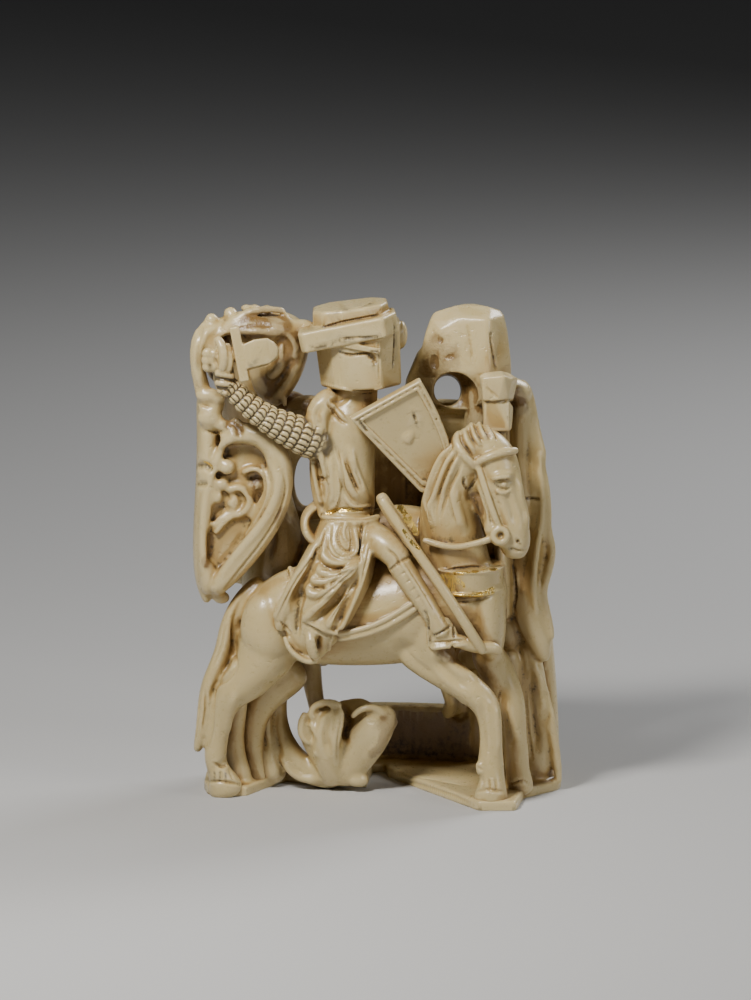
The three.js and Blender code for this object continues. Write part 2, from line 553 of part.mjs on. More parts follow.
// The trunk and the long hanging leaf on the right
function rightFoliage() {
  return join([
    limb([[18.6, 1, 25, 3.4, 5], [19.3, 1, 19.7, 3.2, 4.5], [20.4, 1.5, 13.9, 3.5, 4.8],
      [21.4, 1.5, 9.5, 3.8, 5], [22, 1, 4.5, 4, 5], [22.2, 1, 1.6, 4.1, 5.2]]),
    limb([[23.8, 2, 22, 1.5, 2.6], [24.7, 3, 11, 1.5, 2.4], [24.8, 2, 1.6, 1.6, 2.6]],
      { sides: 6 }),
    limb([[20, -2, 58, 1.4, 1.8], [20.9, -2, 56, 1.5, 2], [21.2, -1.5, 51.8, 1.8, 2.5],
      [22, -1, 46.2, 2.3, 3], [22.6, -1, 40.4, 2.7, 3], [22.8, -1.5, 34.7, 3.1, 3],
      [22, -2.5, 29.1, 3.3, 3], [22.2, -3, 25.1, 2.8, 2.6], [23.4, -3.5, 21.2, 1.7, 1.8],
      [24, -3.5, 19.3, 0.9, 1]], { flute: 0.08 }),
    limb([[21.4, 2, 46, 1.6, 3.6], [23.4, 1.5, 34.3, 1.8, 3.6], [23.6, 1.5, 24, 1.6, 3]],
      { sides: 6 }),
    limb([[16.7, -5, 59.8, 1.9, 2.2], [16.7, -6, 57.2, 2.1, 2.2], [16.4, -7, 55.2, 1.9, 2],
      [15.7, -8.5, 53, 2.2, 2.2]], { sides: 6 }),
    limb([[16.6, -5, 59, 1.5, 1.8], [19.3, -4, 58.8, 1.6, 1.8], [21.1, -3, 57.6, 1.5, 1.8]],
      { sides: 6 }),
    limb([[17.7, -3, 36, 1.2, 4], [18.2, -3, 31, 1.1, 4], [18.3, -3, 25.6, 1, 3.4]], { sides: 6 }),
  ]);
}

// The worn block at the upper right, over an arched opening
function block() {
  return join([
    limb([[12.4, 11, 47.5, 5.6, 3.6], [12.3, 9, 53, 6.6, 5.5], [11.9, 5, 57.2, 7.3, 5.5],
      [12.4, 4, 60.6, 6.7, 5.5], [12.6, 4, 63.5, 6.2, 5.5], [13, 4, 67, 5.4, 5],
      [13.1, 4, 69, 4.4, 4]], { tip: 0.1 }),
    limb([[5.6, 4, 58.7, 1.2, 3], [6.7, 6, 55.4, 1.3, 3.4], [7.4, 9, 51, 1.6, 3.4]], { sides: 6 }),
    limb([[14.6, 3, 58.6, 2, 4], [14.4, 3, 54.2, 2, 4.5], [14.6, 4, 50, 2.4, 5],
      [15.5, 4, 44, 2.4, 5], [16, 3, 38, 2.4, 5]], { sides: 6 }),
  ]).subtract(arch());
}

const arch = () => {
  const form = new THREE.CylinderGeometry(1, 1, tuskDepth * 2, 10);
  form.scale(1.9 * wide, 1, 2.2 * unit);
  form.rotateX(THREE.MathUtils.degToRad(-10));
  const place = at(10, 4, 56.8);
  return solid(form.translate(place.x, place.y, place.z));
};

// The plainer back: vines climb the outside of the tusk, with a leaf inside each bend.
// A vine is [x of its middle line, sway to each side].
const vines = [[-17.2, 2.6], [-0.6, -5.6], [15, 3.4]];
const bends = 3;
const vineRise = { from: 17, to: 51.5 };

function backVines() {
  const half = vineThickness / 2 / unit;
  const outside = (x) => (ovalY(x * wide) - vineThickness / 2 + vineRelief) / deep;
  const heightAt = (share) => THREE.MathUtils.lerp(vineRise.from, vineRise.to, share);
  const onBack = (x, z, width) => [x, outside(x), z, width, half];
  const forms = vines.map(([middle, sway]) => {
    const line = (share) => middle + sway * Math.sin(share * bends * Math.PI);
    const stations = [];
    for (let step = 0; step <= 4 * bends; step += 1) {
      const share = step / (4 * bends);
      stations.push(onBack(line(share), heightAt(share), half));
    }
    const leaves = [];
    for (let bend = 0; bend < bends; bend += 1) {
      const share = (bend + 0.5) / bends;
      const reach = Math.sign(line(share) - middle) * (Math.abs(sway) + 2.2);
      const [x, z] = [line(share), heightAt(share)];
      const leaf = [
        onBack(x - reach * 0.1, z - 3.6, 0.8),
        onBack(x - reach * 0.6, z - 0.6, 2.6),
        onBack(x - reach, z + 2.6, 0.8),
      ];
      leaves.push(limb(leaf, { sides: 6 }));
    }
    return join([limb(stations, { sides: 6 }), ...leaves]);
  });
  const root = (x) =>
    limb([[x, outside(x) - 1, 1.4, 2.2, 2.2], [x * 0.96, outside(x * 0.96) - 0.6, 9, 1.7, 1.8],
      [x * 0.85, outside(x * 0.85) - 0.4, 18, 1.8, 1.8]], { sides: 6 });
  return join([...forms, root(-17.5), root(15.5), root(21)]);
}

const carving = join([
  wall(),
  foot(),
  heart(),
  horse(),
  tack(),
  rider(),
  helm(),
  shield(),
  swordHand(),
  scabbard(),
  leftFoliage(),
  tulip(),
  rightFoliage(),
  block(),
  backVines(),
]);

// The flat underside: nothing reaches below the surface that the piece stands on.
const belowForm = new THREE.BoxGeometry(tuskWidth * 2, tuskDepth * 2, pieceHeight);
const below = solid(belowForm.translate(0, 0, -pieceHeight / 2));

// Where two forms cross, the joint has corners almost on top of each other.
// Each edge shorter than this length is closed up into one corner.
const shortestEdge = 0.16;

function closeShortEdges(places, faces) {
  const around = places.map(() => new Set());
  faces.forEach((face, f) => face.forEach((corner) => around[corner].add(f)));
  const beside = (corner) =>
    new Set([...around[corner]].flatMap((f) => faces[f]).filter((other) => other !== corner));
  const facing = (corners) => {
    const [a, b, c] = corners.map((corner) => places[corner]);
    return b.clone().sub(a).cross(c.clone().sub(a));
  };
  const canClose = (kept, dropped) => {
    if (places[dropped].z < 1e-6 && places[kept].z > 1e-6) {
      return false;
    }
    const others = beside(dropped);
    const shared = [...beside(kept)].filter((corner) => others.has(corner));
    const turnsOver = [...around[dropped]].some((f) => {
      const face = faces[f];
      const moved = face.map((corner) => (corner === dropped ? kept : corner));
      return !face.includes(kept) && facing(face).dot(facing(moved)) <= 0;
    });
    return shared.length === 2 && !turnsOver;
  };
  const close = (kept, dropped) => {
    for (const f of around[dropped]) {
      if (faces[f].includes(kept)) {
        faces[f].forEach((corner) => around[corner].delete(f));
        faces[f] = [];
      } else {
        faces[f] = faces[f].map((corner) => (corner === dropped ? kept : corner));
        around[kept].add(f);
      }
    }
    around[dropped].clear();
  };
  let closed = true;
  while (closed) {
    closed = false;
    for (let f = 0; f < faces.length; f += 1) {
      for (let edge = 0; edge < faces[f].length; edge += 1) {
        const pair = [faces[f][edge], faces[f][(edge + 1) % 3]];
        const short = places[pair[0]].distanceTo(places[pair[1]]) < shortestEdge;
        const order = short && [pair, pair.toReversed()].find((ends) => canClose(...ends));
        if (order) {
          close(...order);
          closed = true;
          break;
        }
      }
    }
  }
  return faces.filter((face) => face.length === 3);
}

function meshOf(manifold, name, material) {
  const { vertProperties, triVerts } = manifold.getMesh();
  const places = Array.from({ length: vertProperties.length / 3 }, (_, corner) =>
    new THREE.Vector3().fromArray(vertProperties, 3 * corner),
  );
  const faces = Array.from({ length: triVerts.length / 3 }, (_, f) => [
    ...triVerts.subarray(3 * f, 3 * f + 3),
  ]);
  const geometry = new THREE.BufferGeometry().setFromPoints(places);
  geometry.setIndex(closeShortEdges(places, faces).flat());
  const mesh = new THREE.Mesh(mergeVertices(geometry.toNonIndexed(), 1e-6), material);
  mesh.name = name;
  return mesh;
}

const ivory = new THREE.MeshStandardMaterial({ color: 0xdccfb0, roughness: 0.42, metalness: 0 });
const group = new THREE.Group();
group.add(meshOf(carving.subtract(below), "chess_knight", ivory));

export default group;
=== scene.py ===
import math

import bpy
import bmesh
import numpy as np
from mathutils import Matrix, Vector
from mathutils.bvhtree import BVHTree


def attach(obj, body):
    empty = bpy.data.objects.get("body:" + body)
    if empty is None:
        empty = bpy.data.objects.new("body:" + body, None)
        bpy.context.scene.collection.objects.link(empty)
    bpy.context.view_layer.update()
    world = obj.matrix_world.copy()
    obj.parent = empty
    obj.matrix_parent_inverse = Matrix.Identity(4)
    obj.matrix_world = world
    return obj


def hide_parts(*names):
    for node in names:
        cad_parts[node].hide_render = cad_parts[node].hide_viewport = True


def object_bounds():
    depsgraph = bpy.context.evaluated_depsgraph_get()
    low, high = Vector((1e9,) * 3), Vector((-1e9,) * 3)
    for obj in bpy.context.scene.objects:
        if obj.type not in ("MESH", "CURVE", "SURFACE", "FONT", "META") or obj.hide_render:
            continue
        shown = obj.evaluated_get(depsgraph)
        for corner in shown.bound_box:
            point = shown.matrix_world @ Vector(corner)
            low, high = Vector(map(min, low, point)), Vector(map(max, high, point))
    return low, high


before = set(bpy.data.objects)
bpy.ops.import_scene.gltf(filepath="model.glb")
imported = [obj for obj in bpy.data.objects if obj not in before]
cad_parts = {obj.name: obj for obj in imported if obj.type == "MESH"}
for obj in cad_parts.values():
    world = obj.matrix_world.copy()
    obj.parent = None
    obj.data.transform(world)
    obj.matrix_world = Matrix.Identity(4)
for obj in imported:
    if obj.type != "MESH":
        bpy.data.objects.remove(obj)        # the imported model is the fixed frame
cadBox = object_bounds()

# The carving is made in millimetres and brought to metres at the end.
# +X is the way the horse walks, -Y the carved front, +Z up.
millimetre = (cadBox[1].z - cadBox[0].z) / 72.23
viewAngle = math.radians(10)


# Working by hand

def deselectAll():
    if bpy.context.object and bpy.context.object.mode != "OBJECT":
        bpy.ops.object.mode_set(mode="OBJECT")
    bpy.ops.object.select_all(action="DESELECT")


def takeUp(obj):
    deselectAll()
    obj.select_set(True)
    bpy.context.view_layer.objects.active = obj
    return obj


def settle(obj):
    takeUp(obj)
    bpy.ops.object.transform_apply(location=True, rotation=True, scale=True)
    return obj


def finishWith(obj, kind, **settings):
    takeUp(obj)
    modifier = obj.modifiers.new(kind.lower(), kind)
    for name, value in settings.items():
        setattr(modifier, name, value)
    bpy.ops.object.modifier_apply(modifier=modifier.name)
    return obj


def joinAll(objs, name):
    deselectAll()
    for obj in objs:
        obj.select_set(True)
    bpy.context.view_layer.objects.active = objs[0]
    bpy.ops.object.join()
    objs[0].name = name
    return objs[0]


def easeEdges(obj, width):
    return finishWith(obj, "BEVEL", width=width, segments=2, limit_method="ANGLE") if width else obj


def editAll():
    bpy.ops.object.mode_set(mode="EDIT")
    bpy.ops.mesh.select_all(action="SELECT")


def closeUp():
    bpy.ops.mesh.normals_make_consistent(inside=False)
    bpy.ops.object.mode_set(mode="OBJECT")


def pickRings(obj, first, last):
    bpy.ops.mesh.select_all(action="DESELECT")
    mesh = bmesh.from_edit_mesh(obj.data)
    mesh.verts.ensure_lookup_table()
    for index in range(first, last):
        mesh.verts[index].select = True
    mesh.select_flush(True)
    bmesh.update_edit_mesh(obj.data)


limbFullness, tipShare = 0.975, 0.55


# Oval rings strung along a line, bridged one to the next and closed by blunt tips.
# A station is x, y, z, half width in the plane of the walk, half depth.
def limb(stations, sides=12, tip=0.5, levels=2):
    deselectAll()
    last = len(stations) - 1
    spots = [Vector(station[:3]) for station in stations]
    fuller = 6 / (4 + 2 * math.cos(2 * math.pi / sides)) * limbFullness   # rounding draws the rings in
    for i, (width, depth) in enumerate(station[3:] for station in stations):
        along = (spots[min(i + 1, last)] - spots[max(i - 1, 0)]).normalized()
        inward = (Vector((0, 1, 0)) - along * along.y).normalized()
        across = inward.cross(along)
        turn = Matrix((across, inward, along)).transposed().to_euler()
        bpy.ops.mesh.primitive_circle_add(vertices=sides, radius=width * fuller,
                                          location=spots[i], rotation=turn)
        if i == 0:
            obj = bpy.context.object
            bpy.ops.object.transform_apply(location=True, rotation=True, scale=True)
            editAll()
        bpy.ops.transform.resize(value=(1, depth / width, 1), center_override=spots[i])
        if i:
            pickRings(obj, (i - 1) * sides, (i + 1) * sides)
            bpy.ops.mesh.bridge_edge_loops()
    for ring, inside in ((0, 1), (last, last - 1)):
        pickRings(obj, ring * sides, (ring + 1) * sides)
        bpy.ops.mesh.edge_face_add()
        step = (spots[ring] - spots[inside]).normalized() * tip * min(stations[ring][3:])
        bpy.ops.mesh.extrude_region_move(TRANSFORM_OT_translate={"value": step})
        bpy.ops.transform.resize(value=(tipShare,) * 3, center_override=spots[ring] + step)
    bpy.ops.mesh.select_all(action="SELECT")
    closeUp()
    return finishWith(obj, "SUBSURF", levels=levels, render_levels=levels)


def egg(x, y, z, width, depth, height):
    deselectAll()
    bpy.ops.mesh.primitive_uv_sphere_add(segments=16, ring_count=10, radius=1, location=(x, y, z),
                                         scale=(width, depth, height))
    return settle(bpy.context.object)


# A flat form with the outline that is given, as thick as asked, with its edges eased
def slab(outline, thickness, place=Matrix(), ease=0.0):
    deselectAll()
    bpy.ops.mesh.primitive_circle_add(vertices=len(outline), radius=1, fill_type="NGON")
    obj = bpy.context.object
    for vertex, (x, y) in zip(obj.data.vertices, outline):
        vertex.co = (x, y, 0)
    editAll()
    bpy.ops.mesh.extrude_region_move(TRANSFORM_OT_translate={"value": (0, 0, thickness)})
    bpy.ops.mesh.select_all(action="SELECT")
    closeUp()
    obj.matrix_world = place
    return easeEdges(settle(obj), ease)


# A bar from one place to another
def bar(start, end, width, depth, sides=4, ease=0.15):
    deselectAll()
    start, end = Vector(start), Vector(end)
    line = end - start
    bpy.ops.mesh.primitive_cone_add(vertices=sides, radius1=1, radius2=1, depth=line.length)
    obj = bpy.context.object
    corner = math.cos(math.pi / sides)
    across = Vector((0, 1, 0)).cross(line).normalized()
    inward = line.normalized().cross(across)
    turn = Matrix((across, inward, line.normalized())).transposed().to_4x4()
    size = Matrix.Diagonal((width / corner, depth / corner, 1, 1))
    obj.matrix_world = (Matrix.Translation((start + end) / 2) @ turn @ size
                        @ Matrix.Rotation(math.pi / sides, 4, "Z"))
    return easeEdges(settle(obj), ease)


def cutAway(obj, tools):
    for tool in tools:
        finishWith(obj, "BOOLEAN", operation="DIFFERENCE", object=tool, solver="EXACT")
        bpy.data.objects.remove(tool)
    return obj


# Where the piece stands in the photograph, in dots, and how many dots a millimetre is. The front of
# the piece and the start of a line of sight lie this many millimetres before the middle.
view = {"middle": 377, "foot": 808, "scale": 7, "front": 17, "eye": 60}
lookAlong = Vector((0, math.cos(viewAngle), -math.sin(viewAngle)))


# The place at the depth y that is seen at a spot of the photograph
def seen(across, down, y):
    height = (view["foot"] - down) / view["scale"] - math.sin(viewAngle) * (y + view["front"])
    return ((across - view["middle"]) / view["scale"], y, height / math.cos(viewAngle))


# A thin limb through spots of the photograph: across, down, depth, half thickness
def rib(spots):
    return limb([(*seen(*spot[:3]), spot[3], spot[3]) for spot in spots], sides=8, levels=1)


# A lump at a spot of the photograph: across, down, depth, then its half sizes
def lump(across, down, y, width, depth, height):
    return egg(*seen(across, down, y), width, depth, height)


# A form of flat facets drawn tight round spots of the photograph
def stone(spots, ease=0.15):
    deselectAll()
    bpy.ops.mesh.primitive_circle_add(vertices=len(spots), radius=1)
    obj = bpy.context.object
    for vertex, spot in zip(obj.data.vertices, spots):
        vertex.co = seen(*spot)
    editAll()
    bpy.ops.mesh.convex_hull()
    closeUp()
    return easeEdges(obj, ease)


# The horse

horseForms = {
    "barrel": [(-17.4, -6, 25.5, 3.1, 3.8), (-15, -6.5, 26.4, 5.2, 5.2), (-11.7, -7, 26.7, 7.3, 6),
        (-5.3, -7, 26.2, 7.4, 6.2), (1.9, -7.5, 26.5, 7.5, 6.5), (8.3, -8, 28.2, 8, 6.5),
        (13.3, -8.5, 29, 7.5, 6), (16.1, -9, 28.8, 5.5, 5)],
    "chest": [(14.4, -9, 33.1, 3, 5), (15.3, -9.5, 28.9, 3.2, 5), (15.9, -9.5, 23.8, 2.6, 5),
        (16.4, -9, 20.9, 1.5, 3)],
    "neck": [(12.1, -8.5, 30.8, 5, 4.8), (10.7, -9, 36.7, 4.9, 4.5), (10, -9.5, 41.9, 4.2, 4),
        (10.7, -10, 47.1, 3.8, 3.6), (12.7, -10.5, 50.8, 3.4, 3.3), (15.3, -10.5, 52.5, 2.6, 3)],
    "head": [(14.7, -10.5, 52.2, 2.6, 2.8), (16.6, -11, 50.1, 3.3, 3.2), (17.4, -11.5, 46.9, 3.2, 3.1),
        (18, -11.5, 43.7, 2.8, 2.7), (19, -12, 40.6, 2.4, 2.4), (19.6, -12, 38, 2.4, 2.3),
        (19.4, -12, 36.3, 2, 1.9)],
    "jaw": [(15.6, -12, 46.7, 2.2, 2.4), (15.7, -12, 43.5, 2.2, 2.2), (16.7, -12.5, 40.4, 1.8, 1.9),
        (17.9, -12.5, 38.4, 1.3, 1.5)],
    "nearFore": [(5, -10, 22.4, 3.4, 3.4), (10.7, -12, 18.3, 2.4, 2.6), (13.6, -13, 16.4, 2.2, 2.4),
        (15.7, -13.4, 14.6, 2.1, 2.3), (16.2, -13.7, 11.6, 1.65, 1.9), (16.2, -13.8, 8.2, 1.65, 1.9),
        (16.1, -14, 6.3, 2, 2), (16.4, -14.2, 4.6, 1.7, 1.9), (16.3, -14.8, 2.6, 2.2, 2.2),
        (16.1, -14.6, 0.5, 2.8, 2.4)],
    "foreJoin": [(15.6, -8.5, 21.5, 2.6, 3), (16.6, -8.8, 18.6, 2.2, 2.6), (17.6, -8.5, 15.6, 1.5, 2)],
    "farFore": [(16.4, -7.6, 20.4, 2.5, 2.7), (19.4, -8.2, 14, 2.1, 2.3), (19.5, -8.4, 9.8, 1.7, 1.9),
        (19.9, -8.4, 6.4, 1.9, 2), (20, -8.2, 4, 1.7, 1.9), (20.6, -8, 1.3, 2.1, 2.1)],
    "nearHind": [(-15.3, -7.5, 22.7, 5.1, 4.6), (-16.2, -8, 19.6, 4, 3.9), (-18.9, -8, 16.7, 3.2, 3.1),
        (-21.3, -8, 14.5, 2.2, 2.3), (-22.1, -7.6, 11.6, 1.55, 1.8), (-22.7, -7.2, 8.4, 1.5, 1.7),
        (-23.2, -7, 5.8, 1.75, 1.8), (-22.7, -7, 3.9, 1.5, 1.8), (-21.9, -6.8, 2.2, 2.2, 2.2),
        (-21.6, -6.6, 0.8, 2.8, 2.5)],
    "farHind": [(-12.4, -3, 17.8, 3.7, 3.2), (-15.3, -2.5, 14.6, 2.8, 2.7), (-17.3, -2, 11.6, 2.2, 2.3),
        (-18, -1.5, 7.9, 1.8, 1.9), (-17.9, -1, 4.9, 1.8, 1.9), (-17, -0.5, 1.3, 2.2, 2.2)],
    "tail": [(-16.8, -5.2, 30.8, 1.2, 1.6), (-19.6, -5.8, 28.2, 1.25, 1.7),
        (-21.3, -6.2, 24.6, 1.25, 1.7), (-21.8, -6.2, 21.4, 1.2, 1.7), (-22.8, -6.2, 18.7, 1.25, 1.7),
        (-24.2, -6, 15.6, 1.2, 1.6), (-24.6, -6, 11.8, 1.15, 1.6), (-25, -5.8, 8.7, 1, 1.4),
        (-25.7, -5.6, 6.4, 0.65, 0.9)],
    "tailWeb": [(-18, -5, 28.8, 1.6, 1.5), (-19.3, -5.2, 24.8, 2.1, 1.5), (-19.8, -5.4, 21, 1.9, 1.5),
        (-21.2, -5.4, 17.6, 1.6, 1.5), (-22.2, -5.2, 14.6, 1.2, 1.3)],
    "poll": [(11.9, -11, 52.6, 1.5, 1.6), (13.2, -11.6, 52.2, 1.9, 1.9), (14.6, -11.9, 50.4, 1.5, 1.6)],
    "haunch": [(-15.8, -8.2, 28.6, 3, 3.4), (-15.4, -9, 25, 4.5, 3.6), (-15.2, -9, 21.6, 3.8, 3.4)],
    "shoulder": [(6.6, -9, 30, 3.6, 4.6), (7.6, -10.4, 25, 4.2, 4), (9, -11.4, 20.6, 3, 3.2)],
}
horseEggs = [(13.4, -10.8, 53.4, 1, 1.1, 1.3), (13, -13, 15.7, 1.7, 1.6, 1.2)]   # ear, knee


def makeHorse():
    return [limb(stations) for stations in horseForms.values()] + [egg(*spot) for spot in horseEggs]


# The rider

riderForms = {
    "torso": [(-3.9, -8, 40.8, 3.8, 3.5), (-4.1, -8, 43.8, 3.9, 3.8), (-4.2, -8, 48.2, 4, 4),
        (-4.1, -8, 51.8, 4.3, 4), (-4.2, -8, 54, 4.4, 3.8), (-3.6, -7.5, 56.1, 3.8, 3.4),
        (-3.1, -7, 58.6, 3.3, 3.2), (-3, -7, 60.4, 3.3, 3.2)],
    "collar": [(-6.6, -8.4, 53.4, 2.6, 2.8), (-4, -8.6, 55.2, 3.4, 3.2), (-1.2, -8.4, 54.6, 2.8, 2.8)],
    "skirt": [(-3.9, -8, 40.8, 3.9, 3.7), (-4.4, -9, 37.5, 4.6, 4.5), (-5.6, -10, 33.3, 5.6, 5),
        (-7.4, -10.5, 29, 6, 5), (-9.3, -11, 24.8, 4.8, 4.2), (-9.4, -11, 22.4, 3, 3.2),
        (-9, -11, 21.1, 1.5, 2)],
    "panel": [(-8.6, -11.5, 25.4, 3.2, 2.2), (-9.3, -11.9, 22.8, 2.7, 1.9), (-9.6, -12, 21.4, 2, 1.5),
        (-9.5, -12, 20.6, 1.1, 0.9)],
    "sleeve": [(-7.6, -9, 51.4, 3, 2.7), (-10.4, -10, 52.6, 2.7, 2.6), (-13.2, -10.5, 54, 2.3, 2.3),
        (-16, -11, 55.5, 1.8, 2), (-18.7, -11, 57.8, 1.6, 1.8), (-20.7, -11, 59.9, 1.5, 1.7)],
    "underarm": [(-8, -7.5, 50.5, 1.6, 2), (-8.6, -7.6, 46.5, 1.1, 1.5), (-8.2, -8, 43, 0.9, 1.3),
        (-7.6, -8.2, 41, 0.8, 1.2)],
    "thigh": [(-1.3, -10, 38.4, 2.6, 3), (1.6, -13, 37.4, 2.2, 2.2), (3.3, -13.6, 35.4, 2, 1.8)],
    "shin": [(2.7, -13.6, 35.6, 1.9, 1.7), (4.8, -14.2, 32.4, 1.75, 1.6), (6.9, -14.6, 29.4, 1.55, 1.5),
        (8.5, -14.8, 26.8, 1.35, 1.4), (9.2, -14.8, 25.2, 1.5, 1.4)],
    "shieldArm": [(-1, -8, 55, 2, 2.4), (2, -10.5, 54, 2.2, 2), (5, -12.3, 53, 1.8, 1.2)],
}
riderRibs = {
    "skirtTip": [(304, 580, -13, 1), (296, 592, -12.8, 1.15), (287, 606, -12.6, 1.2),
        (280, 618, -12.4, 1.05), (281, 628, -12.4, 0.7)],
    "leftRidge": [(330, 524, -11.4, 0.5), (324, 537, -12.4, 0.7), (313, 557, -13.4, 0.8),
        (299, 575, -13.7, 0.8), (288, 594, -13.4, 0.8), (277, 616, -12.9, 0.7)],
    "rightRidge": [(374, 524, -11.2, 0.5), (369, 545, -13.2, 0.75), (363, 572, -14.6, 0.85),
        (352, 598, -15, 0.85), (340, 626, -14.9, 0.8)],
    "foldA": [(359, 563, -14.2, 0.55), (341, 584, -15, 0.8), (323, 601, -15.3, 0.85),
        (306, 617, -15, 0.7)],
    "foldB": [(358, 574, -14.6, 0.5), (343, 600, -15.3, 0.78), (329, 624, -15.2, 0.72)],
    "lowFold": [(310, 632, -14.6, 0.5), (312, 645, -14.4, 0.6), (317, 656, -13.8, 0.45)],
    "lowEdge": [(286, 636, -13.2, 0.4), (293, 649, -13.4, 0.5), (303, 658, -13.6, 0.5),
        (315, 659, -13.6, 0.4)],
    "hem": [(304, 619, -14.8, 0.4), (313, 623, -15, 0.42), (325, 629, -15, 0.42),
        (338, 632, -14.9, 0.42)],
    "shoulder": [(331, 397, -9.4, 1.6), (322, 407, -10, 1.9), (317, 419, -10.3, 1.9),
        (320, 434, -10.4, 1.5)],
    "torsoEdge": [(314, 420, -11.4, 0.45), (317, 437, -11.4, 0.5), (322, 456, -11.2, 0.5),
        (327, 477, -10.8, 0.55)],
    "backHem": [(311, 450, -9.3, 0.35), (314, 468, -9.4, 0.4), (317, 486, -9.6, 0.4),
        (321, 503, -9.8, 0.35)],
}
boot = [(425, 616, -14.4), (433, 612, -15.4), (448, 616, -15.2), (455, 626, -15), (458, 634, -15),
    (456, 643, -15.3), (446, 645, -15.6), (434, 649, -15.2), (427, 645, -14.6), (430, 630, -12.8),
    (450, 626, -12.4), (454, 642, -12.6), (434, 646, -12.8)]
toe = [(450, 636, -14.6, 1), (466, 643, -14.6, 1), (481, 646, -14.2, 1), (493, 646, -13.8, 1),
    (498, 650, -13.5, 0.7)]


# Flat plates of the helm: the plan's corners across and in depth, the middle, height, slope, how far
# the lower edge draws in, and where it draws in to
helm = {
    "face": {
        "plan": [(-6.1, -0.8), (-3.95, -4.6), (-2.5, -5.6), (3.1, -5.8), (6.1, -1.8), (6.1, 2.6),
            (3.4, 5.2), (-3.4, 5.2), (-6.1, 2.6)],
        "middle": (-2.8, -7, 64.1),
        "height": 9.2,
        "slope": 2,
        "low": 0.93,
        "towards": 6.1,
    },
    "band": {
        "plan": [(-7.1, -5.2), (-6.5, -6.2), (5.2, -6.5), (7.1, -3.4), (6.9, 1), (4, 3.4), (-4.5, 3.4),
            (-6.9, 1)],
        "middle": (-4, -7, 67.65),
        "height": 3,
        "slope": 11.5,
        "low": 0.99,
        "towards": 0,
    },
    "crown": {
        "plan": [(-5.5, -1.9), (-4.1, -4.4), (-1.4, -5.2), (2.2, -5.1), (4.2, -3.8), (5.1, -1.4), (5, 2),
            (3, 4.4), (-3.3, 4.4), (-5.5, 2)],
        "middle": (-3.4, -7, 69.35),
        "height": 3.5,
        "slope": 7,
        "low": 1.06,
        "towards": 0,
    },
}
helmEase = 0.38
helmParts = {
    "plate": ((-4.9, -12.75, 65.4), (0.5, -12.75, 66.0), 0.5, 0.26),
    "ear": (401, 336, -6, 0.9, 1.5, 2),
}


def makeHelm():
    objs = []
    for part in helm.values():
        stand = (Matrix.Translation(part["middle"])
                 @ Matrix.Rotation(-math.radians(part["slope"]), 4, "Y"))
        obj = slab(part["plan"], part["height"], Matrix.Translation((0, 0, -part["height"] / 2)))
        bpy.ops.object.mode_set(mode="EDIT")
        pickRings(obj, 0, len(part["plan"]))
        share = part["low"]
        bpy.ops.transform.resize(value=(share, share, 1), center_override=(part["towards"], 0, 0))
        bpy.ops.object.mode_set(mode="OBJECT")
        obj.matrix_world = stand
        settle(obj)
        objs.append(easeEdges(obj, helmEase))
    objs.append(bar(*helmParts["plate"], ease=0.1))
    objs.append(lump(*helmParts["ear"]))
    return objs


shieldSizes = {
    "width": 11.3, "length": 18.5, "thickness": 1.6, "rim": 1.15, "rimHeight": 0.42, "groove": 0.28,
    "corner": (-3.9, -13.2, 56.1), "lean": math.radians(-29.5), "nod": math.radians(13), "ease": 0.2,
    # depths that the groove and what stays beside it are cut from, then how an inset draws in the tip
    # and the corner, and the shares of the width and the length where the outline bends
    "grooveFrom": 0.3, "tongueFrom": 0.9, "tipInset": 1.5, "cornerInset": 1.15, "pull": 0.7, "tip": 0.6,
    "heel": (0.28, 0.8), "steps": 13,
}


def shieldOutline(inset):
    sizes = shieldSizes
    width, low = sizes["width"], -sizes["length"] + sizes["tipInset"] * inset
    start, pull = (width - inset, -inset), (width - inset, low * sizes["pull"])
    end = (width * sizes["tip"], low)
    side = [[(1 - t) ** 2 * a + 2 * t * (1 - t) * b + t * t * c for a, b, c in zip(start, pull, end)]
            for t in np.linspace(0, 1, sizes["steps"])]
    across, down = sizes["heel"]
    return [(sizes["cornerInset"] * inset, -inset), *side, (width * across + inset, low * down)]


def makeShield():
    stand = (Matrix.Translation(shieldSizes["corner"]) @ Matrix.Rotation(shieldSizes["lean"], 4, "Y")
             @ Matrix.Rotation(math.pi / 2 + shieldSizes["nod"], 4, "X"))
    thick, rim, proud = shieldSizes["thickness"], shieldSizes["rim"], shieldSizes["rimHeight"]

    def cutter(inset, height, sunk):
        return slab(shieldOutline(inset), height, stand @ Matrix.Translation((0, 0, thick - sunk)))

    plate = slab(shieldOutline(0), thick, stand, shieldSizes["ease"])
    inner = cutter(rim, 2 * proud, proud)
    half = shieldSizes["groove"] / 2
    groove = cutter(rim / 2 - half, 1, shieldSizes["grooveFrom"])
    tongue = cutter(rim / 2 + half, 2, shieldSizes["tongueFrom"])
    cutAway(groove, [tongue])
    return [cutAway(plate, [inner, groove])]


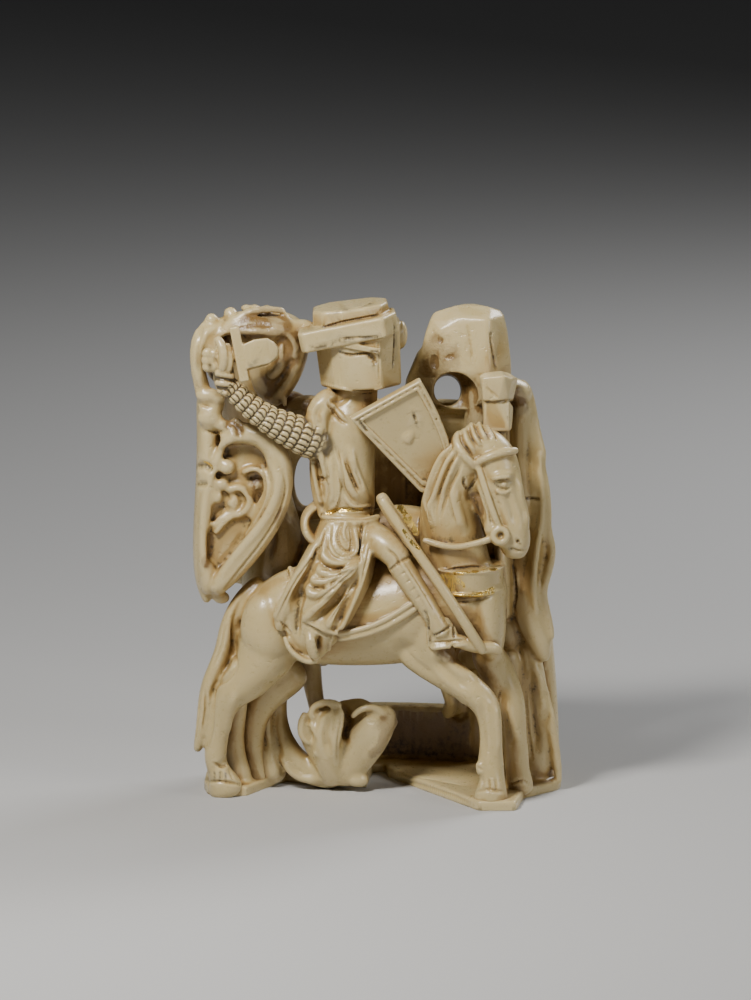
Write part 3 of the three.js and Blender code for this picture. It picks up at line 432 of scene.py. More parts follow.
swordHand = {
    "fist": [(-21.2, -11, 59.6, 1.5, 1.7), (-21.6, -11.2, 61.2, 1.6, 1.6),
        (-21.8, -11.3, 63.4, 1.5, 1.5), (-21.8, -11.3, 65.4, 1.3, 1.4)],
    "ribs": [
        [(220, 341, -12.2, 0.6), (225, 348, -12.9, 0.75), (227, 360, -13.1, 0.78),
            (225, 371, -12.7, 0.7)],
        [(229, 347, -12.2, 0.5), (232.5, 356, -12.8, 0.55), (233, 366, -12.8, 0.55),
            (230, 374, -12.4, 0.5)],
        [(219, 375, -12.4, 0.5), (228, 376, -12.9, 0.55), (235, 378, -12.4, 0.45)],
        [(219, 384, -12.3, 0.5), (227, 385, -12.8, 0.55), (234, 386, -12.3, 0.45)],
        [(221, 392, -12, 0.45), (229, 393, -12.4, 0.5)]],
    "pommel": [(213, 362, -11.7, 1.15, 1, 1.7), (210, 355.5, -12.2, 0.8, 0.6, 0.8),
        (216.5, 356, -12.2, 0.75, 0.6, 0.75), (209, 362, -12.2, 0.75, 0.6, 0.8),
        (210, 368.5, -12.2, 0.8, 0.6, 0.75), (216.5, 368, -12.2, 0.75, 0.6, 0.75)],
    "guard": ((-20.15, -12.7, 68.7), (-18.55, -12.9, 61), 0.55, 0.8),
    "hilt": ((-22.5, -12, 64), (-18.5, -12, 64.7), 0.8, 0.9),
    "blade": [(245, 347, -13.6), (256, 342, -13.7), (269, 340.5, -13.6), (276, 344.5, -13.3),
        (280, 351, -13.1), (279, 358, -13.1), (272, 365, -13.4), (262, 367.5, -13.6), (252, 370, -13.7),
        (247, 371, -13.6), (245, 346, -10.6), (268, 340, -10.6), (279, 347, -10.8), (281, 354, -10.8),
        (279, 361, -10.8), (268, 367, -10.6), (247, 373, -10.6)],
}


def makeSwordHand():
    objs = [limb(swordHand["fist"])]
    objs += [rib(spots) for spots in swordHand["ribs"]]
    objs += [lump(*spot) for spot in swordHand["pommel"]]
    objs += [bar(*swordHand["guard"]), bar(*swordHand["hilt"], sides=8)]
    objs.append(stone(swordHand["blade"], ease=0.1))
    return objs


# Harness

cordForms = {   # half thickness, places
    "rein": (0.5,
        [(6.7, -13.3, 38.3), (9, -14, 37.6), (11.6, -14.1, 37.3), (15, -14, 38.2), (17.1, -13.9, 39)]),
    "browband": (0.6,
        [(13.9, -13.5, 49.4), (15, -14, 50), (16.1, -14.3, 50.6), (18.3, -13.8, 51.1), (19.6, -12.6, 51)]),
    "cheekStrap": (0.5, [(14.3, -13.6, 49), (15.2, -14.2, 46), (16.2, -14.5, 43), (17.3, -14.3, 40.2)]),
    "clothRim": (0.42,
        [(-5.6, -13.9, 24.9), (-3.7, -13.9, 25.2), (-0.3, -14.3, 26.2), (2.6, -14.4, 27.9),
            (5.2, -14.5, 29.6)]),
    "clothRimLow": (0.42,
        [(-5.4, -13.7, 24.1), (-3.3, -13.8, 24.4), (0.2, -14.1, 25.4), (3.2, -14.3, 27.1),
            (6, -14.4, 29)]),
    "scabbard": (0.78,
        [(0.8, -12.6, 43.9), (2.6, -13.5, 41.2), (5.1, -14.6, 37.6), (7.6, -15.4, 34.2),
            (10.7, -15.9, 29.7), (13.3, -15.7, 25.4), (15, -14.8, 22.6)]),
    "belt": (0.62,
        [(-8, -8.6, 41.3), (-7, -10.7, 40.9), (-5.2, -11.7, 40.6), (-3.2, -12, 40.5),
            (-1.2, -11.5, 40.7), (0.2, -10, 41)]),
}
saddleForms = {
    "cantle": [(-7, -6, 42.6, 0.7, 2), (-9.5, -7, 41.8, 0.8, 2.5), (-10.4, -8, 40.2, 0.8, 2.5),
        (-9.9, -9, 38.2, 0.8, 2.2), (-8, -9.5, 36.8, 0.7, 1.8)],
    "bow": [(0.6, -11, 44.1, 1, 1.5), (1.9, -12.3, 42, 1, 1.2), (3.6, -13.2, 39.6, 0.9, 1),
        (5, -14, 37.6, 0.9, 1)],
    "seat": [(-1, -6.2, 38.3, 3, 3), (2.5, -6, 39, 3.4, 3), (6, -6, 38.6, 3.4, 3),
        (8.5, -6.5, 37.5, 3.4, 3)],
}
breastStrap = {   # a cone round the chest; its bands are rise, height and how far each stands proud
    "place": (12.9, -8.85, 32.2), "high": 5.15, "low": 4.8, "depthShare": 1.24, "ease": 0.15,
    "bands": ((0, 3.8, 0), (1.55, 0.55, 0.22), (-1.55, 0.55, 0.22)),
}
bitBoss = {"ring": (17.4, -14.6, 39.2), "radius": 0.95, "thickness": 0.5,
           "back": (17.4, -13.9, 39.2, 1.2, 0.6, 1.2)}


def limbOfCord(name):
    size, places = cordForms[name]
    return [(*spot, size, size) for spot in places]


def makeHarness():
    objs = [limb(limbOfCord(name), sides=8) for name in cordForms if name not in ("belt", "scabbard")]
    objs += [limb(stations) for stations in saddleForms.values()]
    strap = breastStrap
    x, y, z = strap["place"]
    for rise, height, proud in strap["bands"]:
        deselectAll()
        bpy.ops.mesh.primitive_cone_add(vertices=40, depth=height, location=(x, y, z + rise),
                                        radius1=strap["low"] + proud, radius2=strap["high"] + proud)
        bpy.context.object.scale = (1, strap["depthShare"], 1)
        objs.append(easeEdges(settle(bpy.context.object), strap["ease"]))
    deselectAll()
    bpy.ops.mesh.primitive_torus_add(location=bitBoss["ring"], rotation=(math.pi / 2, 0, 0),
                                     major_radius=bitBoss["radius"], minor_radius=bitBoss["thickness"],
                                     major_segments=24, minor_segments=10)
    return objs + [settle(bpy.context.object), egg(*bitBoss["back"])]


# Foliage

foliageForms = {
    "cupRim": [(-24.2, -5, 56.8, 1.2, 2), (-25.3, -5.5, 60.8, 1, 2.5), (-25.6, -6, 64.5, 1, 2.5),
        (-24.6, -6, 66.9, 1.1, 2.3), (-22.9, -5, 67.5, 1.1, 2.3), (-20.3, -4, 68.1, 1.1, 2.6),
        (-17, -3, 68.6, 1.1, 2.6), (-13.4, -3, 68.4, 1.3, 3), (-11, -3.5, 67, 1.6, 3),
        (-10.8, -4, 64.1, 1.5, 3), (-12.2, -4, 60.1, 1.5, 3), (-14.6, -4, 56.9, 1.4, 3)],
    "cupFold": [(-22.4, -7, 66.4, 0.6, 0.9), (-20.2, -7.6, 67.6, 0.9, 1.2), (-17.4, -7.6, 68, 1.3, 1.4),
        (-14.2, -7, 67.6, 1.4, 1.5), (-11.9, -6.6, 66, 1.1, 1.4), (-11.6, -6, 63.4, 0.9, 1.4)],
    "cupVein": [(-22.8, -7, 66.2, 0.7, 0.9), (-23, -7.2, 64.6, 0.6, 0.8), (-23.2, -7.4, 62.4, 0.6, 0.8)],
    "backing": [(-18, 0, 60, 4.5, 2.5), (-18, 4, 55, 5, 3), (-17.5, 8, 50, 5, 3)],
    "helmLink": [(-17.4, -6, 67, 1.8, 1.8), (-15, -6.5, 67.4, 2, 1.8), (-12.4, -6, 67.2, 1.6, 1.6),
        (-9.5, -6, 67.5, 1.3, 1.5)],
    "innerCurl": [(-15, -6, 60.8, 1, 2), (-13.2, -6.4, 62.8, 1, 2), (-13.2, -6, 65.6, 1, 2)],
    "leftEdge": [(-24.2, -3.5, 57.5, 1.6, 3.4), (-23.8, -4, 51.5, 1.8, 3.6), (-24.2, -4, 45, 1.6, 3.8),
        (-24.8, -4, 39.2, 1.4, 3.8), (-25, -4, 34.2, 1.3, 3.6), (-24.8, -4.5, 30.8, 1.2, 2.4),
        (-24.2, -5, 28, 0.7, 1)],
    "edgeLeafTop": [(-22.4, -6, 57.2, 1.2, 1.4), (-23.6, -6.6, 55.6, 1.6, 1.6),
        (-23.8, -6.4, 53.6, 1.4, 1.5)],
    "edgeLeafLow": [(-19.8, -7, 54.4, 0.9, 1), (-20.6, -7.6, 53.3, 1.1, 1.1), (-19.4, -7.8, 52.4, 1, 1)],
    "podStem": [(-21.6, -7, 52.1, 1.3, 1.4), (-18.1, -7.5, 53, 1.7, 1.8), (-15, -8, 51.7, 1.9, 2),
        (-13.6, -8, 48.5, 1.9, 2.2), (-13.6, -8, 44.5, 1.9, 2.2), (-14.9, -8, 40.8, 2, 2.2),
        (-17.6, -8, 36.6, 1.9, 2.2), (-20.4, -7.5, 33, 1.7, 2), (-22.9, -7, 30.2, 1.4, 1.8)],
    "podWeb": [(-18, -5.4, 51.5, 4, 1.2), (-18.5, -5.4, 46, 5.8, 1.2), (-19.3, -5.4, 41, 5.6, 1.2),
        (-21, -5.4, 35, 4.2, 1.2), (-23.4, -5.2, 30.5, 1.5, 1.1)],
    "podRimLeft": [(-21.8, -7.2, 50.8, 0.6, 0.8), (-23.8, -7.4, 46.4, 0.6, 0.8),
        (-24.6, -7.4, 42, 0.6, 0.8), (-24.8, -7.4, 37, 0.6, 0.9), (-24.6, -7.2, 32.4, 0.7, 1)],
    "podTip": [(-24.2, -6.8, 33.6, 1.1, 1.2), (-24.1, -7, 31.8, 1.2, 1.3), (-24, -6.6, 29.6, 0.8, 0.9)],
    "trunk": [(18.6, 1, 25, 3.4, 5), (19.3, 1, 19.7, 3.2, 4.5), (20.4, 1.5, 13.9, 3.5, 4.8),
        (21.4, 1.5, 9.5, 3.8, 5), (22, 1, 4.5, 4, 5), (22.2, 1, 1.2, 4.1, 5.2)],
    "trunkFront": [(21.4, -2, 21, 1.9, 2), (22.3, -2.2, 15, 2.2, 2), (22.7, -2.2, 9, 2.4, 2.1),
        (22.9, -2, 3, 2.7, 2.2)],
    "trunkEdge": [(22.6, 1.6, 31, 1.4, 2.8), (23.6, 2, 24, 1.5, 2.8), (24.7, 3, 11, 1.5, 2.4),
        (24.8, 2, 1.2, 1.6, 2.6)],
    "leaf": [(20, -2.2, 58, 1.5, 2), (20.7, -2.4, 56, 1.8, 2.4), (20.8, -2.2, 51.8, 2.1, 2.8),
        (21.4, -2, 46.2, 2.3, 3.3), (22, -2, 40.4, 2.5, 3.3), (22.2, -2, 34.7, 2.6, 3.2),
        (21.4, -2.5, 29.1, 2.6, 3), (22, -3, 25.1, 2.4, 2.6), (23.4, -3.5, 21.2, 1.7, 1.8),
        (24, -3.5, 19.3, 0.9, 1)],
    "leafEdge": [(20.2, 1.6, 54, 1.3, 2.8), (21.4, 2, 46, 1.5, 3.6), (22.9, 1.5, 34.3, 1.7, 3.6),
        (22.8, 1.5, 26, 1.6, 3)],
    "chunk": [(16.7, -5, 59.8, 1.9, 2.2), (16.7, -6, 57.2, 1.9, 2.2), (16.7, -6.6, 55.2, 1.7, 2),
        (16.7, -7, 52.4, 1.7, 2), (17, -7, 50, 1.3, 2)],
    "chunkLink": [(16.6, -5, 59, 1.5, 1.8), (19.3, -4, 58.8, 1.6, 1.8), (21.1, -3, 57.6, 1.5, 1.8)],
    "brokenStrip": [(17.7, -3, 36, 1.2, 4), (18.2, -3, 31, 1.1, 4), (18.3, -3, 25.6, 1, 3.4)],
    "hindStem": [(-13.6, 0, 16.5, 1.6, 1.8), (-14.3, 0, 14.1, 1.6, 1.6), (-14.6, 0, 10.5, 1.6, 1.6),
        (-13.9, -0.5, 7, 1.8, 1.8), (-12, -1, 3.9, 2, 2), (-9.3, -1.5, 2.1, 2, 2), (-6, -2, 2, 2.2, 2.3)],
    "hindStemTwo": [(-15.9, 0, 12.9, 1.2, 1.3), (-16.3, 0, 6.9, 1.4, 1.5), (-15.6, 0, 3.2, 1.8, 1.8),
        (-14.6, 0, 1.3, 2, 2)],
    "tulipFront": [(-6.1, -3, 1.8, 2, 2), (-6.9, -4.5, 4.8, 2.2, 1.5), (-7.1, -5.5, 7.8, 2.2, 1.2),
        (-6.7, -6, 10.5, 1.7, 1), (-6.1, -6, 12.1, 0.8, 0.6)],
    "tulipRight": [(-5, -3, 1.9, 2.2, 2), (-3.3, -4, 5, 3, 1.6), (-1.1, -5, 8, 3, 1.4),
        (0.7, -5.5, 10.7, 2.5, 1.2), (1.9, -5, 12.1, 1.4, 0.8)],
    "tulipLeft": [(-7.4, -3, 3, 1.2, 1.4), (-8.1, -3, 4.5, 1.2, 1.4), (-9.6, -3.5, 7.2, 1.3, 1.2),
        (-10.1, -4, 9.2, 1.3, 1.2), (-9.9, -3.5, 10.8, 0.9, 0.8)],
    "tulipBack": [(-4.6, -1.5, 2.4, 3.2, 1.6), (-3.9, 0.6, 7.6, 4.8, 1.3), (-3.6, 1.4, 10.8, 4.4, 1),
        (-3.8, 1.5, 12.1, 2.5, 0.7)],
    "bellyBranch": [(-10, 3, 20.5, 2, 2.2), (-9.3, 1.4, 14.6, 1.4, 1.4), (-8, 0.4, 8.4, 1.1, 1.1)],
    "rearBranch": [(9.6, 3, 20, 2, 2.2), (10.4, 5.5, 13.6, 1.5, 1.6), (12.3, 12, 8, 1.5, 1.6)],
    "archLeft": [(5.6, 4, 58.7, 1.2, 3), (6.7, 6, 55.4, 1.3, 3.4), (7.4, 9, 51, 1.6, 3.4)],
    "archRight": [(14.6, 3, 58.6, 2, 4), (14.4, 3, 54.2, 2, 4.5), (14.6, 4, 50, 2.4, 5),
        (15.5, 4, 44, 2.4, 5), (16, 3, 38, 2.4, 5)],
    "heart": [(-16, 4, 29, 8, 7), (-9, 5, 28.5, 10, 9), (12, 5, 29.5, 10, 9), (17.5, 4, 31, 8, 8)],
    "heartLeft": [(-14.6, 0, 30.6, 2.5, 4), (-12.4, 1, 35.5, 3, 5), (-14.4, 4, 41, 1.9, 6),
        (-15, 6, 48, 2, 5)],
}
# Ribs and lumps of the foliage, set where the photograph shows them
foliageRibs = {
    "cupLip": [(217, 337, -6.4, 0.5), (223, 331, -6.6, 0.6), (231, 325, -6.8, 0.65),
        (239, 320, -6.9, 0.65), (247, 315, -6.8, 0.6), (257, 312, -6.6, 0.6), (270, 310.5, -6.4, 0.55),
        (285, 312, -6, 0.5)],
    "cupFine": [(288, 314, -6.2, 0.3), (292, 330, -6.6, 0.35), (290, 346, -6.6, 0.3)],
    "leftVein": [(206, 332, -6.8, 0.35), (203.5, 345, -7.3, 0.42), (203.5, 360, -7.2, 0.35)],
    "leftVeinTwo": [(213, 335, -7.2, 0.3), (210.5, 345, -7.6, 0.4), (210.5, 354, -7.6, 0.3)],
    "leftBand": [(200, 331, -6, 0.5), (195.5, 345, -6.6, 0.6), (195, 359, -6.9, 0.6),
        (196, 372, -6.9, 0.55), (198, 384, -6.6, 0.5), (201, 398, -6.2, 0.5), (203, 410, -6, 0.5)],
    "curl": [(221, 448, -7.6, 0.5), (229, 440, -8.2, 0.75), (239, 436, -8.3, 0.8), (249, 441, -8, 0.6)],
    "gapRidge": [(285, 386, -6, 0.4), (284, 396, -6.4, 0.5), (286, 408, -6.6, 0.4)],
    "podInner": [(221, 456, -7.5, 0.35), (216, 466, -7.5, 0.4), (213, 480, -7.5, 0.42),
        (212.5, 500, -7.5, 0.42), (208, 521, -7.5, 0.42), (204, 543, -7.6, 0.42), (202, 566, -7.7, 0.4)],
    "scroll": [(228, 491, -7.2, 0.5), (236, 486, -7.3, 0.58), (246, 489, -7.3, 0.62),
        (252, 498, -7.3, 0.62), (250, 507, -7.3, 0.6), (243, 514, -7.2, 0.55), (236, 516, -7.1, 0.45)],
    "hook": [(231, 493, -7.0, 0.3), (237, 498, -7.1, 0.38), (238, 506, -7.1, 0.38),
        (232, 510, -7.0, 0.3)],
    "cupArc": [(244, 473, -7.2, 0.45), (254, 467, -7.6, 0.5), (264, 471, -7.9, 0.5),
        (268, 482, -7.9, 0.5), (266, 495, -7.8, 0.5), (259, 508, -7.5, 0.5), (250, 517, -7.2, 0.4)],
    "ribOne": [(241, 513, -7.1, 0.35), (230, 517, -7.2, 0.45), (222, 525, -7.2, 0.45),
        (216, 534, -7.1, 0.35)],
    "ribTwo": [(228, 511, -7.0, 0.3), (220, 519, -7.1, 0.38), (213, 526, -7.1, 0.32)],
    "leafRim": [(522, 382, -2.4, 0.6), (528, 391, -2.6, 0.65), (531, 403, -2.8, 0.65),
        (533.5, 418, -3, 0.65), (536.5, 433, -3.2, 0.65), (540, 447, -3.2, 0.7), (542.5, 456, -3.2, 0.7),
        (540.5, 464, -3.2, 0.6), (544, 478, -3.4, 0.65), (546.5, 497, -3.6, 0.68),
        (547.5, 514, -3.8, 0.68), (546.5, 528, -4, 0.68), (550.5, 541, -4.1, 0.65),
        (552.5, 552, -4.2, 0.65), (550.5, 563, -4.4, 0.62), (547, 577, -4.6, 0.6), (542, 593, -4.6, 0.6),
        (546, 607, -4.4, 0.6), (549, 620, -4.2, 0.6), (552, 638, -4, 0.55)],
    "leafRimTwo": [(538, 452, -4, 0.3), (540, 475, -4.2, 0.42), (541.5, 500, -4.6, 0.48),
        (541, 520, -4.8, 0.5), (537, 545, -5.2, 0.5), (534, 570, -5.4, 0.5), (533, 592, -5.6, 0.45),
        (537, 612, -5.4, 0.35)],
    "trunkRib": [(534, 664, -3.6, 0.6), (541, 681, -3.8, 0.75), (546, 697, -3.8, 0.8),
        (550, 716, -3.8, 0.8), (554, 735, -3.6, 0.75), (557, 757, -3.4, 0.7), (560, 782, -3, 0.7)],
    "hindWeb": [(240, 690, -4.4, 1.3), (238, 712, -3.9, 1.35), (233, 736, -3.6, 1.5),
        (233, 760, -3.4, 1.9), (240, 785, -3.2, 2.2)],
    "hindWebTwo": [(268, 700, -1.4, 0.9), (265, 725, -1.2, 0.8), (266, 750, -1.2, 1),
        (272, 775, -1.4, 1.6)],
    "foreWeb": [(509, 655, -3.4, 1.6), (513, 675, -3, 1.6), (516, 697, -2.6, 1.3), (520, 725, -2.2, 1)],
    "tulipRim": [(313, 718, -5.4, 0.55), (310, 710, -5.2, 0.6), (318, 703, -5.6, 0.62),
        (330, 701, -6, 0.62), (341, 705, -6.4, 0.55)],
    "tulipCurl": [(305, 713, -4.6, 0.55), (301, 722, -4.6, 0.6), (300, 730, -4.6, 0.6),
        (303, 739, -4.6, 0.6), (309, 743, -4.8, 0.5)],
    "tulipMid": [(341, 711, -6.6, 0.7), (339, 726, -6.8, 0.75), (336, 741, -6.6, 0.65),
        (334, 755, -6, 0.55), (337, 769, -5, 0.5)],
    "tulipRib": [(311, 723, -5.4, 0.45), (316, 733, -5.8, 0.5), (321, 744, -5.8, 0.5),
        (325, 762, -5, 0.45)],
    "tulipRightRim": [(352, 717, -6, 0.5), (358, 710, -6.2, 0.55), (369, 706, -6.2, 0.6),
        (379, 708, -6, 0.6), (386, 716, -5.8, 0.6)],
    "tulipOuter": [(397, 721, -4.6, 0.5), (390, 730, -5, 0.55), (381, 738, -5.2, 0.55),
        (374, 748, -5, 0.55), (366, 758, -4.6, 0.5), (353, 771, -4, 0.5)],
    "footPiece": [(352, 780, -4.4, 1.1), (361, 781, -4.2, 1.2), (366, 780, -4, 0.9)],
    "pillar": [(443, 682, 1, 0.8), (449, 696, 2, 0.9), (453, 706, 6, 1), (449, 716, 10, 1.2)],
}
# Across and down in the photograph, depth, then half sizes
knobs = [(213, 321, -5.8, 0.95, 1, 0.95), (232, 315, -5.6, 1.05, 1.1, 0.95),
    (247, 309.5, -5, 0.75, 1, 0.55), (256, 309, -4.8, 0.7, 1, 0.5), (268, 309.5, -4.6, 0.7, 1, 0.5),
    (206, 328, -6, 0.7, 0.8, 0.7), (210, 396, -6.9, 1.9, 1.2, 1.1), (219, 399, -7.1, 1.2, 1, 0.8),
    (211, 418, -7, 1.8, 1.2, 1.4), (223, 425, -7.1, 1.3, 1, 0.9), (206, 408, -6.8, 0.9, 1, 0.8),
    (216, 409, -6.8, 1.1, 0.9, 0.6), (228, 467, -7.4, 1.2, 1, 1.15), (223, 484, -7.2, 0.9, 0.8, 0.85),
    (218, 497, -7.2, 0.85, 0.8, 1), (232, 503, -7, 0.6, 0.6, 0.6), (256, 486, -6.8, 0.9, 0.8, 1),
    (205, 575, -6.6, 0.6, 0.7, 0.55), (204, 585, -6.4, 0.6, 0.7, 0.55), (222, 597, -6, 1.3, 1, 0.95),
    (328, 724, -4.9, 2.1, 1, 2.5), (316, 753, -5.4, 0.55, 0.6, 0.6), (366, 741, -5, 0.8, 0.8, 0.9),
    (202, 470, -5.8, 0.6, 1, 0.9), (199, 520, -5.8, 0.5, 1, 1.6)]
foliageEggs = [
    (-18.4, -1, 62.9, 6.6, 2.2, 6.4), (-14.8, -4.2, 62, 3.5, 2.3, 5.8), (-17.8, -4.2, 66, 4.8, 2.2, 2.3),
    (-12.8, -0.6, 55.8, 3.2, 1.7, 1.9), (-9.8, -2.2, 55.4, 3.2, 1.7, 1.9), (-7.2, -4.4, 55.4, 2.4, 2.2, 1.8),
]


def makeFoliage():
    objs = [limb(stations) for stations in foliageForms.values()]
    objs += [rib(spots) for spots in foliageRibs.values()]
    return objs + [lump(*knob) for knob in knobs] + [egg(*spot) for spot in foliageEggs]


# The tusk's own wall and its foot

tusk = {
    "halfWidth": 26.5, "halfDepth": 16.1, "thickness": 3.2, "top": 54, "lowTop": 9.1, "foot": 1.4,
    # x, z, half width, half height of the holes from front to back
    "holes": [(-10.2, 42.3, 1.7, 4), (1.7, 15, 8.8, 2.6), (17.2, 24, 2, 4), (4.5, 54.6, 4.4, 2.2)],
    "brokenEdge": [(-24.8, -2), (-24.2, -6), (-21.5, -7.6), (-18.6, -7), (-16, -2), (-13, 2.7), (-7, 0),
                   (-1.5, -1.4), (-0.6, 9), (1.2, 9.4), (1.6, 5.9), (8, -5.6), (14.4, -17), (19.7, -17),
                   (21, -8.8), (26, -3)],
    "footHole": (-7, 8.5, 4.5, 3.5),
    # the walls' first and last angle and lower edge, the angles of the foot's whole edge, how far the foot
    # is sunk below the floor before it is cut, and the box that keeps the wall clear of the tail
    "upper": (38, 146, 15), "low": (54, 108, 0), "back": (-2, 158), "sunk": 0.6,
    "tailGap": ((-45.1, 0, 15), (53, 68, 26)),
}


def ovalSpot(degrees, inset=0.0):
    turn = math.radians(degrees)
    return ((tusk["halfWidth"] - inset) * math.cos(turn), (tusk["halfDepth"] - inset) * math.sin(turn))


def wallBetween(start, end, bottom, top):
    outside = [ovalSpot(angle) for angle in np.linspace(start, end, 37)]
    inside = [ovalSpot(angle, tusk["thickness"]) for angle in np.linspace(end, start, 37)]
    return slab(outside + inside, top - bottom, Matrix.Translation((0, 0, bottom)))


def ovalCutter(x, z, halfWidth, halfHeight, y=17, tilt=0.0, depth=34):
    deselectAll()
    bpy.ops.mesh.primitive_cylinder_add(vertices=32, radius=1, depth=depth)
    obj = bpy.context.object
    obj.matrix_world = (Matrix.Translation((x, y, z)) @ Matrix.Rotation(math.pi / 2 + tilt, 4, "X")
                        @ Matrix.Diagonal((halfWidth, halfHeight, 1, 1)))
    return settle(obj)


def makeTusk():
    upper = wallBetween(*tusk["upper"], tusk["top"])
    place, size = tusk["tailGap"]
    deselectAll()
    bpy.ops.mesh.primitive_cube_add(size=1, location=place, scale=size)
    cutAway(upper, [settle(bpy.context.object), *[ovalCutter(*hole) for hole in tusk["holes"]]])
    low = wallBetween(*tusk["low"], tusk["lowTop"])
    back = [ovalSpot(angle) for angle in np.linspace(*tusk["back"], 33)]
    sunk = tusk["sunk"]
    foot = slab(back + tusk["brokenEdge"], tusk["foot"] + sunk, Matrix.Translation((0, 0, -sunk)))
    x, y, width, depth = tusk["footHole"]
    deselectAll()
    bpy.ops.mesh.primitive_cylinder_add(vertices=32, radius=1, depth=8, location=(x, y, 0),
                                        scale=(width, depth, 1))
    cutAway(foot, [settle(bpy.context.object)])
    return [upper, low, foot]


# The worn block is a foot of soft stations with a faceted head
block = {
    "foot": [(12.4, 11, 47.5, 5.6, 3.6), (12.3, 9, 53, 6.4, 5), (11.9, 6, 56.6, 6.6, 4.6)],
    "head": [(430, 320, 0.5), (434, 312, 1.5), (446, 309, 1.5), (455, 306, 2), (465, 304, 3),
        (475, 304, 3), (489, 307, 1), (500, 310.5, 2), (504, 316, 1.5), (489, 320, -2), (462, 318, -1.2),
        (440, 330, -1), (425, 334, 0.5), (421, 350, 0.5), (421, 376, 0.8), (426, 400, 1), (489, 372, -3),
        (488, 404, -2.6), (450, 372, -2), (438, 400, -0.5), (511, 363, 1), (512, 402, 1),
        (507, 329, 1.5), (432, 316, 8), (470, 304.5, 8), (499, 310, 8), (508, 340, 9), (512, 395, 9),
        (424, 345, 8), (424, 438, 11), (506, 440, 11)],
    "flare": [(422, 346, 0.8), (415, 361, 1), (407, 378, 1.2), (404, 398, 1.8), (436, 352, -0.4),
        (440, 380, -0.8), (432, 404, 0.4), (418, 350, 7), (406, 378, 8), (406, 404, 9), (438, 404, 9)],
    "recess": (453, 398, -2.6, 3.7, 4.6, 3.6),
    "hole": (10.1, 56.9, 1.95, 2.2),
    "holeSlope": math.radians(-10),
    "pits": [(440, 341, -1.4, 0.5, 0.6, 0.7), (432, 363, -0.8, 1, 0.7, 1.3),
        (449, 357, -1.9, 0.7, 0.5, 0.4)],
    "stubHead": [(478, 377, -8), (483, 373.5, -6.6), (500, 371.5, -6.6), (508, 374, -7), (517, 379, -6),
        (481, 379, -9.6), (503, 377, -10), (511, 380, -8.6), (482, 402, -9.4), (496, 403, -9.8),
        (507, 400, -9.2), (512, 400, -7.6), (480, 380, -4.6), (512, 380, -4.4), (484, 402, -4.8),
        (512, 402, -4.6)],
    "stubNeck": [(483, 403, -8.9), (497, 404, -9.3), (508, 402, -8.8), (512, 408, -7.4),
        (482, 432, -9.4), (508, 432, -9.6), (511, 425, -8), (484, 404, -5), (511, 406, -4.8),
        (483, 434, -5.4), (511, 430, -5)],
}


def makeBlock():
    head = stone(block["head"], ease=0.45)
    x, z, halfWidth, halfHeight = block["hole"]
    flare = stone(block["flare"], ease=0.4)
    whole = [limb(block["foot"], sides=10, tip=0.1, levels=1), head, flare]
    cutAway(head, [lump(*block["recess"])] + [lump(*pit) for pit in block["pits"]])
    cutAway(flare, [lump(*block["recess"])] + [lump(*pit) for pit in block["pits"][1:2]])
    for obj in whole:
        cutAway(obj, [ovalCutter(x, z, halfWidth, halfHeight, y=4, tilt=block["holeSlope"], depth=40)])
    return whole + [stone(block["stubHead"], ease=0.12), stone(block["stubNeck"], ease=0.12)]


vines = {
    "middles": ((-17.2, 2.6), (-0.6, -5.6), (15, 3.4)), "bends": 3, "from": 17, "to": 51.5,
    "thickness": 3, "relief": 0.9, "roots": (-17.5, 15.5, 21), "steps": 8, "stem": 1.3, "reach": 2.2,
    # a leaf's stations are share of the reach, rise and half width
    "leaf": ((0.1, -3.6, 0.8), (0.35, -2.2, 1.9), (0.6, -0.6, 2.5), (0.85, 1.2, 1.7), (1, 2.6, 0.7)),
    # a root's are share of its distance from the middle, height, half width and how far it is sunk
    "root": ((1, 1.1, 2.2, 1), (0.96, 9, 1.7, 0.6), (0.85, 18, 1.8, 0.4)),
}


def makeVines():
    half = vines["thickness"] / 2

    def onBack(x, z, width, sunk=0.0):
        outside = tusk["halfDepth"] * math.sqrt(max(0, 1 - (x / tusk["halfWidth"]) ** 2))
        return (x, outside - half + vines["relief"] - sunk, z, width, half)

    objs = []
    for middle, sway in vines["middles"]:
        def line(share):
            return middle + sway * math.sin(share * vines["bends"] * math.pi)

        def rise(share):
            return vines["from"] + (vines["to"] - vines["from"]) * share

        objs.append(limb([onBack(line(share), rise(share), vines["stem"])
                          for share in np.linspace(0, 1, vines["steps"] * vines["bends"] + 1)]))
        for bend in range(vines["bends"]):
            share = (bend + 0.5) / vines["bends"]
            x, z = line(share), rise(share)
            reach = math.copysign(abs(sway) + vines["reach"], x - middle)
            objs.append(limb([onBack(x - reach * out, z + up, width) for out, up, width in vines["leaf"]]))
    for x in vines["roots"]:
        objs.append(limb([onBack(x * inward, z, width, sunk) for inward, z, width, sunk in vines["root"]]))
    return objs


# Knife work: raised and cut lines on the front, drawn as the eye sees them

def onFront(obj, across, down):
    spot = Vector(seen(across, down, -view["front"]))
    hit, place, normal = obj.ray_cast(spot - lookAlong * view["eye"], lookAlong)[:3]
    return (place, normal) if hit else None


# A smooth run of the photograph's spots, which are given as one row: across, down, across, down
def softLine(row, closeness=2.0):
    points = list(np.reshape(row, (-1, 2)).astype(float))
    points = [2 * points[0] - points[1], *points, 2 * points[-1] - points[-2]]
    run = []
    for a, b, c, d in zip(points, points[1:], points[2:], points[3:]):
        steps = max(1, int(np.linalg.norm(c - b) / closeness))
        for t in np.arange(steps) / steps:
            run.append(0.5 * (2 * b + (c - a) * t + (2 * a - 5 * b + 4 * c - d) * t * t
                              + (3 * b - a - 3 * c + d) * t ** 3))
    return [*run, points[-2]]


